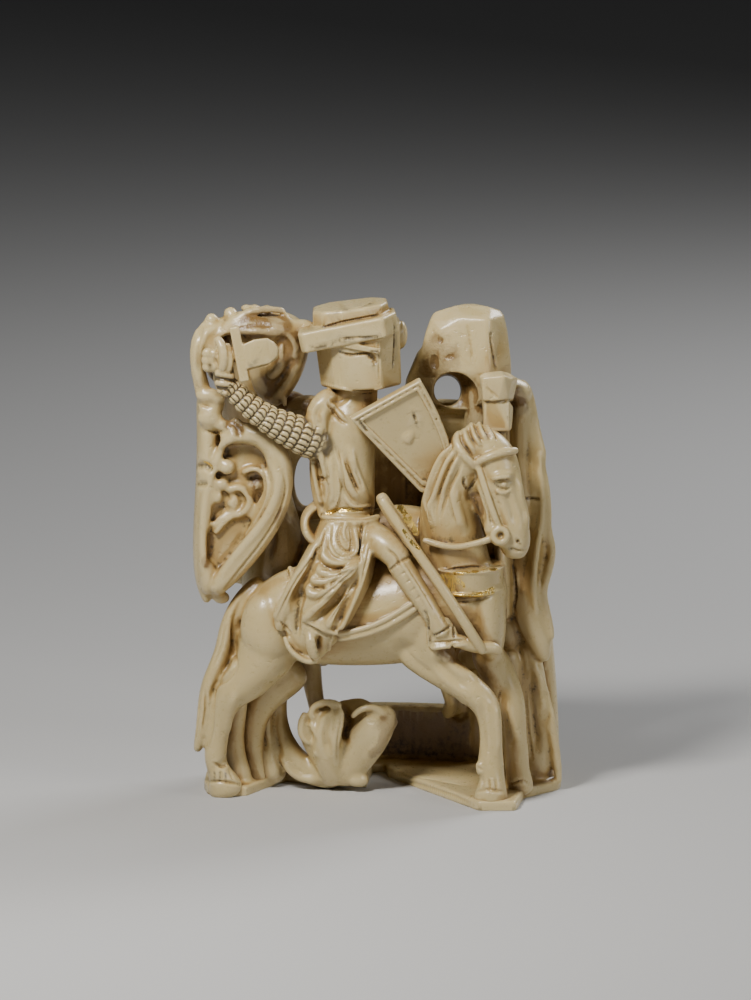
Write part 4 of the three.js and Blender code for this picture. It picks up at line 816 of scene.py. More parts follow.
def meshArrays(mesh):
    places = np.empty(len(mesh.vertices) * 3, np.float32)
    mesh.vertices.foreach_get("co", places)
    normals = np.empty(len(mesh.vertices) * 3, np.float32)
    mesh.vertex_normals.foreach_get("vector", normals)
    return places.reshape(-1, 3), normals.reshape(-1, 3)


knife = {"endFade": 4, "endDepth": 0.25, "facing": -0.1, "cut": 1.1, "soft": 1.5, "deepest": -1.6,
         "highest": 1.2}


# How strongly each corner of the mesh feels a line: 1 on it, fading to 0 at its radius
def feel(obj, places, normals, radius, row, kind="soft"):
    hits = [onFront(obj, *spot) for spot in softLine(row)]
    share = np.linspace(0, 1, len(hits))
    kept = [i for i, hit in enumerate(hits) if hit]
    weight = np.zeros(len(places), np.float32)
    if not kept:
        return weight
    line = np.array([hits[i][0] for i in kept])
    facing = np.array([hits[i][1] for i in kept])
    ends = np.minimum(share[kept], 1 - share[kept])
    fade = np.ones(len(kept))
    if kind != "soft":
        fade = np.minimum(1, ends * knife["endFade"] + knife["endDepth"])
    near = np.nonzero(((places > line.min(0) - radius) & (places < line.max(0) + radius)).all(1))[0]
    best = np.zeros(len(near), np.float32)
    for spot, front, part in zip(line, facing, fade):
        away = np.sqrt(((places[near] - spot) ** 2).sum(1)) / radius
        inside = (away < 1) & (normals[near] @ front > knife["facing"])
        fall = np.zeros(len(near), np.float32)
        if kind == "cut":        # a keen V
            fall[inside] = (1 - away[inside]) ** knife["cut"] * part
        elif kind == "ridge":    # round, with a crisp foot
            fall[inside] = (1 - away[inside] ** 2) * part
        else:
            fall[inside] = (1 - away[inside] ** 2) ** knife["soft"] * part
        best = np.maximum(best, fall)
    weight[near] = best
    return weight


def carve(obj, strokes):
    bpy.context.view_layer.update()
    places, normals = meshArrays(obj.data)
    push = np.zeros(len(places), np.float32)
    for height, radius, *row in strokes:
        push += height * feel(obj, places, normals, radius, row, "ridge" if height > 0 else "cut")
    moved = places + normals * np.clip(push, knife["deepest"], knife["highest"])[:, None]
    obj.data.vertices.foreach_set("co", moved.ravel())
    obj.data.update()


# Strokes of the knife, by piece: height in millimetres, up or down, radius, then the line's row of spots
riderBroad = [
    (-0.8, 0.9, 323, 538, 317, 556, 312, 568, 304, 582, 297, 594, 292, 602),
    (-1.3, 1.1, 304, 588, 299, 602, 296, 618, 297, 634),
    (-1.1, 1.0, 352, 578, 340, 594, 327, 608, 316, 618),
    (-1.2, 1.0, 358, 575, 353, 591, 344, 610, 337, 626), (0.8, 0.9, 312, 634, 313, 645, 317, 656),
    (-0.9, 0.8, 319, 636, 319, 650),
    (0.7, 0.8, 326, 535, 323, 549, 327, 558, 336, 563, 350, 562, 359, 557),
    (0.7, 0.8, 317, 566, 325, 572, 336, 573, 350, 568, 360, 562),
    (0.8, 0.8, 312, 573, 317, 580, 330, 580, 345, 575, 356, 568),
    (0.8, 0.9, 306, 586, 314, 593, 325, 592, 338, 583),
    (-0.6, 0.6, 320, 558, 326, 565, 338, 568, 352, 566),
    (0.6, 0.8, 330, 455, 332, 475, 334, 493, 330, 508),
    (0.6, 0.8, 340, 458, 345, 475, 352, 490, 361, 500),
    (0.6, 0.8, 350, 450, 355, 470, 362, 487, 367, 498),
    (-0.25, 0.8, 336, 440, 341, 466, 345, 488, 351, 500), (-0.2, 0.8, 345, 452, 351, 472, 358, 490),
    (-0.6, 0.8, 322, 408, 318, 416, 322, 428), (-0.5, 0.8, 348, 398, 340, 402, 331, 404),
]
riderFine = [
    # collar and torso
    (-0.4, 0.35, 328, 405, 335, 413, 342, 423), (-0.4, 0.35, 333, 413, 340, 421, 348, 425),
    (0.35, 0.4, 331, 404, 338, 412, 346, 421), (0.4, 0.45, 338, 470, 339, 490, 337, 503, 331, 509),
    (-0.35, 0.35, 337, 448, 342, 470, 345, 488, 352, 500), (-0.35, 0.35, 345, 460, 352, 478, 358, 492),
    (-0.35, 0.35, 356, 470, 363, 488), (-0.35, 0.35, 326, 462, 329, 482, 327, 500),
    (0.3, 0.4, 345, 496, 352, 505, 361, 507, 370, 505), (-0.7, 0.5, 320, 479, 328, 479),
    # belt, with its cuts
    (-0.5, 0.4, 322, 514, 331, 512, 340, 509.5, 356, 509, 376, 508),
    (-0.4, 0.35, 322, 521, 338, 519, 356, 518.5, 376, 518),
    # pleats below the belt
    (0.4, 0.4, 332, 524, 330, 540, 334, 552, 342, 558, 351, 556, 357, 548, 355, 524),
    (-0.45, 0.36, 342, 524, 338, 536, 342, 547, 350, 550, 352, 540, 350, 524),
    (0.35, 0.35, 346, 523, 344, 533, 347, 542), (-0.4, 0.35, 326, 527, 323, 540, 319, 553),
    (-0.4, 0.35, 362, 524, 361, 545, 360, 560), (0.35, 0.35, 366, 523, 363, 545, 361, 562),
    (-0.35, 0.35, 371, 540, 367, 560, 361, 583), (-0.4, 0.35, 322, 568, 336, 569, 350, 565),
    (-0.4, 0.35, 314, 577, 330, 576, 347, 571), (-0.4, 0.35, 311, 585, 322, 588, 336, 580, 350, 569),
    (-0.4, 0.4, 356, 568, 338, 584, 318, 600, 303, 611), (-0.4, 0.4, 357, 580, 340, 604, 329, 622),
    (-0.4, 0.35, 327, 528, 321, 544, 310, 562, 298, 578, 288, 597, 279, 616),
    # hems
    (0.35, 0.35, 273, 621, 276, 628, 281, 632, 285, 634), (-0.35, 0.3, 281, 620, 286, 625, 292, 632),
    (0.4, 0.4, 285, 637, 289, 644, 294, 651, 303, 658, 311, 660, 319, 658, 325, 655),
    (-0.35, 0.35, 290, 640, 296, 648, 304, 653), (-0.4, 0.4, 304, 622, 314, 627, 325, 633, 336, 635),
    (0.35, 0.35, 329, 650, 331, 640, 334, 634),
    # leg: knee, the greave's edges and lacing, ankle and sole
    (-0.35, 0.35, 386, 572, 398, 562, 411, 556), (-0.3, 0.3, 390, 576, 408, 602, 424, 628),
    (0.25, 0.35, 400, 560, 416, 585, 432, 612), (-0.35, 0.3, 412, 560, 426, 580, 440, 604),
    (-0.25, 0.25, 400, 574, 406, 570), (-0.25, 0.25, 405, 582, 411, 578),
    (-0.25, 0.25, 410, 590, 416, 586), (-0.25, 0.25, 415, 598, 421, 594),
    (-0.45, 0.35, 425, 610, 428, 622, 429, 634, 430, 642), (-0.45, 0.35, 431, 634, 440, 631, 450, 624),
    (-0.4, 0.3, 453, 624, 453, 637), (-0.4, 0.3, 430, 641, 446, 640, 465, 638),
    (0.3, 0.35, 428, 647, 446, 645, 465, 643), (-0.4, 0.35, 387, 548, 396, 556, 400, 566),
    # helm: the slit of the band, the eye slit, the broken chip, the crack and the facets' edges
    (-0.55, 0.28, 320, 331, 331, 327.5, 340, 325, 350, 323, 360, 321, 370, 319, 378, 317.5),
    (-0.6, 0.32, 341, 354, 346, 356, 353, 357, 360, 356, 368, 355, 378, 354),
    (-0.6, 0.6, 369, 357, 374, 361, 375, 366), (-0.35, 0.3, 341, 341, 353, 340.5, 366, 340, 379, 339),
    (-0.35, 0.26, 394, 330, 394, 342, 393.5, 354, 392.5, 370),
    (0.2, 0.3, 322, 384, 336, 388, 352, 391.5, 368, 392, 384, 389),
    (-0.3, 0.25, 378, 344, 379, 360, 379, 380), (-0.25, 0.3, 352, 311, 362, 309, 371, 305),
    # shield: the nick and scratches
    (-0.35, 0.35, 413, 415, 416, 423), (-0.3, 0.3, 359, 421, 366, 430), (-0.3, 0.35, 411, 406, 413, 408),
]
horseBroad = [
    (-1.3, 1.4, 472, 492, 476, 506, 480, 518), (0.5, 1.0, 452, 490, 454, 502, 458, 515, 462, 528),
    (0.7, 0.8, 455, 433, 457, 445, 463, 455, 470, 463, 478, 472),
    (0.5, 0.8, 517, 478, 519, 495, 523, 510, 526, 526), (-0.5, 0.9, 505, 492, 510, 508, 515, 524),
    (0.5, 0.7, 491, 479, 499, 475.5, 509, 475), (0.6, 1.2, 487, 526, 492, 538, 503, 543),
    (-0.4, 2.0, 262, 690, 290, 676, 312, 664), (-0.5, 1.6, 398, 640, 414, 660, 436, 676),
    (0.5, 1.0, 440, 652, 458, 668, 476, 676), (-0.5, 1.0, 436, 660, 452, 676, 466, 686),
    (-0.5, 0.8, 216, 690, 213, 712, 211, 730, 207, 745), (0.4, 0.9, 236, 690, 231, 712, 227, 735),
    (-0.4, 0.8, 228, 757, 222, 764, 214, 768), (0.5, 0.8, 199, 763, 204, 768),
    (-0.4, 0.7, 480, 700, 482, 725, 484, 750), (0.4, 0.8, 494, 700, 497, 725, 498, 750),
    (0.4, 0.8, 504, 700, 512, 720, 518, 742), (-0.4, 0.7, 502, 694, 506, 716, 508, 740),
    (0.6, 0.9, 479, 762, 480, 770),
    (-0.6, 0.7, 243, 597, 236, 615, 234, 640, 236, 664, 229, 676, 218, 684, 213, 693),
]
horseFine = [
    # mane
    (0.45, 0.45, 449, 446, 440, 458, 433, 472, 428, 487, 425, 500, 427, 514),
    (0.45, 0.45, 454, 450, 446, 463, 440, 478, 435, 492, 431, 505, 434, 524),
    (0.4, 0.4, 430, 500, 429, 514, 431, 525), (0.4, 0.4, 458, 456, 452, 468, 446, 482, 441, 496),
    (-0.5, 0.35, 451, 448, 443, 461, 436, 476, 431, 490, 428, 504, 430, 520),
    (-0.5, 0.35, 456, 454, 449, 466, 443, 480, 438, 495, 435, 510),
    (-0.45, 0.35, 461, 462, 456, 474, 449, 488, 444, 502, 440, 516),
    (-0.4, 0.3, 444, 447, 435, 460, 428, 476, 423, 492, 421, 508),
    # forelock
    (-0.5, 0.32, 459, 432, 461, 442, 467, 451, 474, 460), (0.4, 0.4, 463, 430, 466, 441, 473, 452),
    (-0.5, 0.32, 467, 428, 470, 438, 476, 447), (0.4, 0.4, 470, 424, 473, 435, 479, 446),
    (-0.5, 0.32, 473, 423, 475, 432, 480, 442), (0.4, 0.4, 477, 421, 480, 431, 485, 441),
    (-0.45, 0.32, 480, 423, 483, 431, 488, 439), (0.35, 0.4, 484, 424, 488, 432, 493, 440),
    (-0.4, 0.3, 488, 427, 492, 434, 496, 441),
    # neck and jaw
    (-0.45, 0.35, 463, 478, 463, 484, 467, 490), (-0.45, 0.35, 475, 478, 470, 486, 467, 490),
    (-0.5, 0.4, 481, 492, 486, 508, 490, 522), (-0.3, 0.35, 447, 494, 450, 508, 454, 522),
    # eye
    (-0.35, 0.26, 492, 483.5, 497, 481, 503, 480, 509, 481.5),
    (-0.28, 0.24, 494, 486, 499, 488.5, 505, 489, 509, 487), (0.35, 0.35, 492, 479, 498, 477.5, 508, 477),
    (0.25, 0.35, 494, 490, 501, 493, 508, 491), (0.35, 0.5, 500, 484.5, 505, 484.5),
    # nostril, mouth, chin
    (-0.6, 0.42, 515, 539, 518, 543), (-0.45, 0.3, 508, 546, 513, 549, 519, 550, 524, 549),
    (-0.35, 0.3, 488, 517, 490, 520), (-0.35, 0.3, 497, 503, 499, 504),
    # breast strap, cracks
    (-0.35, 0.3, 440, 569, 452, 568, 470, 566, 488, 566),
    (-0.3, 0.3, 444, 600, 462, 601, 480, 598, 492, 594),
    # crupper strap
    (0.4, 0.45, 288, 557, 290, 566, 294, 577, 297, 583), (-0.35, 0.3, 284, 558, 286, 567, 290, 579),
    (-0.35, 0.3, 292, 556, 294, 565, 298, 577),
    # hind hoof, fetlock and tufts
    (-0.4, 0.35, 206, 782, 220, 781, 236, 783, 246, 787), (-0.2, 0.3, 214, 771, 216, 777),
    (-0.28, 0.32, 221, 770, 222, 779), (-0.18, 0.35, 229, 769, 234, 780), (0.3, 0.35, 204, 768, 208, 777),
    (-0.4, 0.35, 214, 762, 222, 766, 230, 763), (-0.35, 0.35, 206, 690, 206, 710, 203, 730),
    (-0.3, 0.35, 226, 625, 222, 645, 214, 664), (-0.3, 0.3, 200, 700, 198, 722, 195, 742),
    # fore hooves
    (-0.4, 0.35, 474, 790, 486, 787, 502, 789), (-0.35, 0.3, 482, 776, 482, 787),
    (-0.35, 0.3, 488, 776, 489, 787), (-0.35, 0.3, 494, 776, 496, 788),
    (-0.35, 0.3, 512, 783, 522, 780, 531, 784), (-0.3, 0.3, 476, 764, 482, 768),
    (-0.3, 0.3, 500, 690, 498, 700, 499, 715),
]
surroundBroad = [
    (-1.2, 1.5, 224, 342, 234, 334, 246, 328, 260, 325, 274, 326),
    (-0.9, 1.4, 284, 338, 287, 352, 282, 366), (-0.7, 0.7, 203, 330, 201, 344, 200, 358, 201, 374),
    (-0.7, 0.9, 268, 500, 262, 512, 253, 524, 243, 537, 232, 552, 221, 566),
    (0.5, 0.8, 270, 462, 277, 476, 278, 490, 273, 505, 266, 518, 257, 531, 246, 544, 234, 558, 218, 577),
    (-1.2, 1.4, 255, 478, 256, 492), (-0.9, 0.8, 198, 466, 207, 466, 213, 469),
    (-0.6, 0.7, 199, 484, 208, 484), (-0.9, 1.0, 231, 421, 239, 428, 242, 436),
    (-0.9, 1.0, 212, 376, 215, 384), (-1.0, 1.6, 527, 420, 529, 470, 530, 510, 524, 550, 520, 590),
    (-0.8, 1.0, 545, 690, 549, 705, 547, 722), (-0.9, 1.2, 530, 676, 533, 710, 538, 750),
    (-0.9, 1.0, 345, 710, 348, 722, 346, 738), (-0.7, 0.8, 327, 716, 325, 735, 328, 752),
    (-0.6, 0.8, 265, 705, 263, 730, 266, 752), (-0.6, 0.8, 277, 706, 275, 730, 280, 755),
    (0.6, 0.8, 282, 760, 290, 771, 300, 778, 318, 782),
]
surroundFine = [
    (-0.4, 0.35, 191, 404, 200, 405, 212, 408), (-0.35, 0.35, 205, 431, 216, 433, 226, 432),
    (0.4, 0.4, 263, 466, 269, 478, 270, 492, 265, 508, 256, 522),
    (-0.35, 0.35, 284, 470, 287, 488, 282, 508, 272, 528, 258, 548, 242, 568, 226, 588),
    (-0.4, 0.4, 490, 334, 492, 350, 495, 368), (-0.3, 0.3, 467, 328, 470, 345, 472, 362),
    (-0.4, 0.35, 520, 498, 530, 498, 538, 499), (-0.35, 0.3, 486, 389, 490, 393, 497, 399),
    (-0.4, 0.35, 484, 402.5, 495, 403, 508, 401), (-0.35, 0.3, 512, 560, 516, 590, 514, 610),
    (-0.35, 0.35, 392, 781, 420, 786, 448, 793, 470, 801), (-0.3, 0.3, 396, 777, 430, 780, 466, 786),
    (-0.35, 0.3, 341, 716, 338, 740, 337, 760), (-0.3, 0.35, 526, 690, 528, 720, 533, 760),
    (-0.4, 0.4, 502, 602, 506, 612, 503, 624), (-0.35, 0.3, 255, 705, 251, 722, 251, 742, 258, 764),
]


# Rows of mail round the sleeve, each link a small bent bead
mail = {
    "rowWidth": 1.38, "linkHeight": 0.94, "height": 0.5, "reach": 3.4, "bend": 0.3, "fade": 7, "endFade": 4,
    # from the shoulder to the wrist: how far out the mail reaches, and the sleeve's own radius
    "widths": (3.3, 2.1), "radii": (2.7, 1.6), "overrun": 0.15, "steps": 12, "skipped": 3, "level": 0.6,
    "steepness": 2, "flat": 0.7, "halfTurn": 2.4,
}


def lineOfSleeve():
    spots = np.array([station[:3] for station in riderForms["sleeve"]])
    steps = [spots[0], *spots[1:], spots[-1] + (spots[-1] - spots[-2]) * mail["overrun"]]
    run = [a + (b - a) * t for a, b in zip(steps, steps[1:])
           for t in np.linspace(0, 1, mail["steps"], endpoint=False)]
    return np.array([*run, steps[-1]])


def cutMail(obj):
    places, normals = meshArrays(obj.data)
    line = lineOfSleeve()
    lengths = np.concatenate([[0], np.cumsum(np.linalg.norm(np.diff(line, axis=0), axis=1))])
    along = np.gradient(line, axis=0)
    along /= np.linalg.norm(along, axis=1)[:, None]
    reach = mail["reach"]
    near = np.nonzero(((places > line.min(0) - reach) & (places < line.max(0) + reach)).all(1))[0]
    away = np.linalg.norm(places[near][:, None] - line[None], axis=2)
    closest = away.argmin(1)
    widths = np.interp(np.arange(len(line)) / len(line), [0, 1], mail["widths"])
    within = (away.min(1) < widths[closest]) & (closest > 0) & (closest < len(line) - 1)
    near, closest = near[within], closest[within]
    spot = places[near] - line[closest]
    forward = along[closest]
    inward = np.array([0, 1, 0]) - forward * forward[:, 1:2]
    inward /= np.linalg.norm(inward, axis=1)[:, None]
    across = np.cross(inward, forward)
    turn = np.arctan2((spot * across).sum(1), -(spot * inward).sum(1))
    radius = np.interp(closest / len(line), [0, 1], mail["radii"])
    u = (lengths[closest] + (spot * forward).sum(1)) / mail["rowWidth"]
    row = np.floor(u)
    inRow = 2 * (u - row) - 1
    v = turn * radius / mail["linkHeight"] + 0.5 * (row % 2) + mail["bend"] * inRow ** 2
    inLink = 2 * (v - np.floor(v)) - 1
    dome = np.sqrt(np.clip(1 - inRow ** 2, 0, 1)) * np.sqrt(np.clip(1 - inLink ** 2, 0, 1))
    outward = (normals[near] * spot).sum(1) / (np.linalg.norm(spot, axis=1) + 1e-6)
    ends = (np.clip((closest - mail["skipped"]) / mail["fade"], 0, 1)
            * np.clip((len(line) - 1 - closest) / mail["endFade"], 0, 1))
    mask = (np.clip(outward * mail["steepness"] - mail["flat"], 0, 1) * ends
            * (np.abs(turn) < mail["halfTurn"]))
    moved = places.copy()
    moved[near] += normals[near] * ((dome - mail["level"]) * mail["height"] * mask)[:, None]
    obj.data.vertices.foreach_set("co", moved.ravel())
    obj.data.update()


# From forms to carved surfaces: grains of the two remeshings in millimetres
grain = {
    "rider": {"coarse": 0.24, "fine": 0.14, "softening": 3, "triangles": 190000},
    "horse": {"coarse": 0.3, "fine": 0.17, "softening": 4, "triangles": 190000},
    "foliage": {"coarse": 0.32, "fine": 0.2, "softening": 3, "triangles": 195000},
}
smoothing, lastSoftening, lowest = 0.5, 2, 0.01


def remesh(obj, size):
    return finishWith(obj, "REMESH", mode="VOXEL", voxel_size=size, adaptivity=0)


def countTriangles(mesh):
    mesh.calc_loop_triangles()
    return len(mesh.loop_triangles)


def sculpt(name, soft, crisp, broad, fine):
    size = grain[name]
    piece = joinAll(soft, "chess_knight_" + name)
    remesh(piece, size["coarse"])
    finishWith(piece, "SMOOTH", factor=smoothing, iterations=size["softening"])
    carve(piece, broad)
    joinAll([piece, *crisp], piece.name)
    remesh(piece, size["fine"])
    finishWith(piece, "SMOOTH", factor=smoothing, iterations=lastSoftening)
    carve(piece, fine)
    if name == "rider":
        cutMail(piece)
    takeUp(piece)
    editAll()
    bpy.ops.mesh.bisect(plane_co=(0, 0, lowest), plane_no=(0, 0, 1), clear_inner=True, use_fill=True)
    bpy.ops.object.mode_set(mode="OBJECT")
    finishWith(piece, "DECIMATE", ratio=min(1, size["triangles"] / countTriangles(piece.data)))
    print(name, "triangles", countTriangles(piece.data))
    return piece


print("rider")
rider = sculpt(
    "rider",
    [limb(stations) for stations in riderForms.values()]
    + [rib(spots) for spots in riderRibs.values()] + [limb(limbOfCord("belt"), sides=8)],
    makeHelm() + makeShield() + makeSwordHand()
    + [stone(boot, ease=0.3), rib(toe), limb(limbOfCord("scabbard"), sides=8)],
    riderBroad, riderFine)
print("horse")
horse = sculpt("horse", makeHorse(), makeHarness(), horseBroad, horseFine)
print("foliage and tusk")
foliage = sculpt("foliage", makeFoliage() + makeVines() + makeTusk(), makeBlock(), surroundBroad,
                 surroundFine)
pieces = {"rider": rider, "horse": horse, "foliage": foliage}


# Painted shade in recesses, wear, dirt and gilding, kept as attributes of the surface

def pairsOf(mesh):
    pairs = np.empty(len(mesh.edges) * 2, np.int64)
    mesh.edges.foreach_get("vertices", pairs)
    return pairs.reshape(-1, 2)


def evened(values, pairs, times):
    one, two = pairs.T
    size = len(values)
    count = np.bincount(one, minlength=size) + np.bincount(two, minlength=size)
    for _ in range(times):
        total = np.stack([np.bincount(one, values[two, k], size) + np.bincount(two, values[one, k], size)
                          for k in range(values.shape[1])], 1)
        values = 0.5 * values + 0.5 * total / np.maximum(count, 1)[:, None]
    return values


def keep(mesh, name, values):
    attribute = mesh.attributes.new(name, "FLOAT", "POINT")
    attribute.data.foreach_set("value", np.ascontiguousarray(values, np.float32))


# One tree of all pieces, for the rays that tell a recess from an open face
def treeOf(objs):
    corners, faces, start = [], [], 0
    for obj in objs:
        mesh = obj.data
        mesh.calc_loop_triangles()
        triangles = np.empty(len(mesh.loop_triangles) * 3, np.int32)
        mesh.loop_triangles.foreach_get("vertices", triangles)
        corners.append(meshArrays(mesh)[0])
        faces.append(triangles.reshape(-1, 3) + start)
        start += len(mesh.vertices)
    return BVHTree.FromPolygons(np.concatenate(corners).tolist(), np.concatenate(faces).tolist(),
                                all_triangles=True)


# Rays of the recess, whose depth paints shade into the colour: how far they reach, how many, their seed,
# where they start, how they lean outward and how little a far hit counts. Then the rounds of evening, what a
# full furrow is, and the sleeve.
shadeAndWear = {"reach": 9, "rays": 7, "seed": 7, "lift": 0.1, "lean": 1.05, "fall": 0.7, "furrowRounds": 6,
        "recessRounds": 3, "furrowDepth": 0.05, "sleeveBox": 3, "sleeve": 3.1, "sleeveFade": 0.5}


def depthOfRecess(tree, places, normals):
    reach, rays = shadeAndWear["reach"], shadeAndWear["rays"]
    spread = np.random.default_rng(shadeAndWear["seed"]).normal(size=(rays, 3))
    spread /= np.linalg.norm(spread, axis=1)[:, None]
    shut = np.zeros(len(places), np.float32)
    starts = (places + normals * shadeAndWear["lift"]).tolist()
    for way in spread:
        ways = normals * shadeAndWear["lean"] + way
        ways /= np.linalg.norm(ways, axis=1)[:, None]
        for i, (start, towards) in enumerate(zip(starts, ways.tolist())):
            hit = tree.ray_cast(start, towards, reach)[3]
            if hit is not None:
                shut[i] += 1 - hit / reach * shadeAndWear["fall"]
    return shut / rays


# Painted lines: radius in millimetres, then the line's row of spots
gilding = {
    "horse": [
        (0.65, 441, 577, 456, 572, 472, 570.5, 486, 569, 494, 568),
        (0.65, 452, 593, 466, 595, 482, 593, 492, 589), (0.7, 441, 580, 446, 588, 452, 592),
        (0.5, 447, 585, 455, 580, 463, 584), (0.6, 398, 504, 404, 512, 410, 523, 416, 532),
        (0.25, 285, 560, 290, 572),
    ],
    "rider": [
        (0.4, 328, 513, 338, 510, 352, 510, 362, 509), (0.4, 404, 530, 411, 541, 418, 547),
    ],
    "foliage": [
        (0.3, 206, 462, 211, 464, 214, 468),
    ],
}
dirt = {
    "rider": [
        (0.45, 321, 330.5, 331, 327.5, 350, 323, 378, 318), (0.4, 341, 354, 352, 357, 364, 355, 378, 354),
        (0.7, 370, 356, 375, 362, 375, 367), (0.7, 341, 342, 353, 341, 366, 341, 378, 340),
        (0.5, 313, 350, 325, 348, 340, 343), (0.35, 394, 328, 394, 340, 392.5, 368),
        (0.5, 332, 317, 342, 313, 352, 312), (0.6, 362, 309, 368, 307, 373, 304),
        (0.35, 322, 514, 337, 509.5, 376, 508), (0.5, 359, 421, 366, 430), (0.5, 413, 414, 416, 424),
        (0.3, 432, 634, 440, 631, 449, 625), (0.4, 453, 625, 453, 637),
        (0.5, 425, 610, 428, 622, 429, 641), (0.3, 386, 572, 398, 562),
        (0.5, 304, 590, 299, 603, 297, 630), (0.5, 319, 640, 318, 650), (0.5, 252, 367, 254, 368),
        (0.5, 212, 367, 213, 368),
    ],
    "horse": [
        (0.5, 463, 478, 463, 484, 467, 490, 471, 486, 476, 478), (0.4, 424, 541, 440, 538, 453, 541),
        (0.45, 465, 538, 480, 536), (0.5, 499, 531, 500, 535), (0.35, 515, 540, 518, 543),
        (0.3, 508, 548, 516, 550), (0.3, 488, 517, 490, 521, 495, 521), (0.35, 493, 484, 500, 488),
        (0.5, 472, 495, 478, 510, 482, 522), (0.35, 284, 557, 290, 575), (0.3, 294, 558, 298, 578),
        (0.3, 215, 772, 215, 780), (0.3, 220, 772, 220, 780), (0.3, 226, 773, 226, 781),
    ],
    "foliage": [
        (0.4, 490, 334, 492, 350, 495, 368), (0.6, 198, 466, 207, 466, 213, 469),
        (0.4, 520, 498, 538, 499), (0.4, 200, 484, 208, 484), (0.6, 212, 376, 215, 383),
        (0.4, 485, 403, 508, 401),
    ],
}
coreAndShade = {   # where the tusk's brown marbled heart is laid bare, and painted shade in hollows and under and behind forms
    "rider": [],
    "horse": [
        (2.2, 446, 650, 462, 658, 474, 664), (2, 318, 674, 336, 678, 360, 676),
        (1.6, 380, 540, 400, 530, 416, 536), (2, 312, 522, 316, 534), (1.3, 474, 496, 479, 512),
    ],
    "foliage": [
        (5, 430, 400, 437, 382, 452, 376, 468, 386, 474, 410), (4, 436, 350, 442, 362, 428, 380),
        (6, 292, 402, 312, 406, 322, 412), (9, 390, 450, 400, 480, 408, 508), (4.5, 300, 530, 286, 552),
        (4, 395, 722, 410, 722, 430, 724, 450, 730), (4, 392, 745, 410, 750, 430, 754, 456, 758),
        (2, 515, 395, 520, 408), (2, 231, 421, 239, 430), (1.6, 230, 342, 222, 348),
        (3.5, 250, 330, 262, 322, 278, 324), (3.2, 290, 346, 286, 366, 266, 388),
        (1.4, 372, 755, 382, 745, 388, 724), (2.2, 462, 720, 462, 750, 458, 775),
        (1.6, 209, 540, 208, 560), (1.4, 257, 480, 257, 494), (2.5, 285, 515, 280, 545),
    ],
}

# Painted shade in recesses is worked out here, as well as wear, dirt and gilding
print("wear and dirt")
tree = treeOf(pieces.values())
sleeveLine = lineOfSleeve()
for name, piece in pieces.items():
    bpy.context.view_layer.update()
    mesh = piece.data
    places, normals = meshArrays(mesh)
    pairs = pairsOf(mesh)
    narrow = ((evened(places.astype(float), pairs, shadeAndWear["furrowRounds"]) - places) * normals).sum(1)
    recess = evened(depthOfRecess(tree, places, normals)[:, None], pairs, shadeAndWear["recessRounds"])[:, 0]
    for title, table in (("gilt", gilding), ("dirt", dirt), ("coreAndShade", coreAndShade)):
        share = np.zeros(len(places), np.float32)
        for radius, *row in table[name]:
            share = np.maximum(share, feel(piece, places, normals, radius, row))
        keep(mesh, title, share)
    mailShare = np.zeros(len(places), np.float32)
    if name == "rider":
        box = shadeAndWear["sleeveBox"]
        inBox = ((places > sleeveLine.min(0) - box) & (places < sleeveLine.max(0) + box)).all(1)
        distance = np.linalg.norm(places[inBox][:, None] - sleeveLine[None], axis=2).min(1)
        mailShare[inBox] = np.clip((shadeAndWear["sleeve"] - distance) / shadeAndWear["sleeveFade"], 0, 1)
    print(name, "recess", recess.mean(), "furrow", narrow.std())
    keep(mesh, "recess", recess)
    keep(mesh, "furrow", np.clip(narrow / shadeAndWear["furrowDepth"], -1, 1))
    keep(mesh, "mail", mailShare)


# Ivory

ivory = {
    # The warm and tan colours paint shade into recesses. The brown core colour is both the laid-bare core
    # and painted shade. The dark soil colour is dirt and painted shade in furrows.
    "cream": (0.555, 0.44, 0.215, 1), "warm": (0.44, 0.305, 0.115, 1), "tan": (0.31, 0.185, 0.055, 1),
    "coreAndShade": (0.165, 0.088, 0.025, 1), "soilAndShade": (0.030, 0.018, 0.008, 1), "gold": (0.86, 0.60, 0.15, 1),
    "polish": (0.69, 0.58, 0.33, 1),
    "roughness": 0.3, "roughRecess": 0.68, "goldMetal": 0.9, "goldGloss": 0.1,
    "bumpStrength": 0.4, "bumpDistance": 0.0002, "pits": (0.62, 0.72, 0, -1), "grainHeight": 0.4,
    "coreHeight": 5.0,
}
shaderInputs = {
    "Coat Weight": 0.12, "Coat Roughness": 0.22, "IOR": 1.54,
    "Subsurface Weight": 0.1, "Subsurface Radius": (1.0, 0.62, 0.34), "Subsurface Scale": 0.0012,
}
# Pairs say where a layer starts and is full. A sway is what noise adds to the value behind a layer, and a
# share is how strong the layer is.
layers = {
    # Warm and tan: painted shade in recesses
    "warm": (0.03, 0.34), "warmSway": 0.6,
    "tan": (0.24, 0.58), "tanSway": 0.3, "tanShare": 0.85,
    # Brown marbled layer: the laid-bare core, and painted shade in deep recesses
    "deep": (0.3, 0.8, 0, 0.6), "marble": (0.3, 0.75), "marbleSway": 1.5, "inCoreAndShade": (0.02, 0.4),
    "coreAndShadeShare": 0.85,
    # Dark layer: dirt and painted shade in furrows, stronger in recesses
    "soilAndShadeFurrow": (0.25, 0.9), "soilAndShadeSpeck": (0.56, 0.84), "soilAndShadeRecess": 0.4, "soilAndShadeShare": 0.88,
    # The mail's grooves: dirt and painted shade between the links
    "mailFurrow": (-0.6, 0.1), "mailShare": 0.95, "dirtSpeck": (0.36, 0.6),
    "worn": (-0.1, -0.8), "wornShare": 0.42, "gilt": (0.1, 0.4), "giltSpeck": (0.40, 0.54),
    "roughFrom": (0.2, 0.8), "roughSway": 0.25,
}


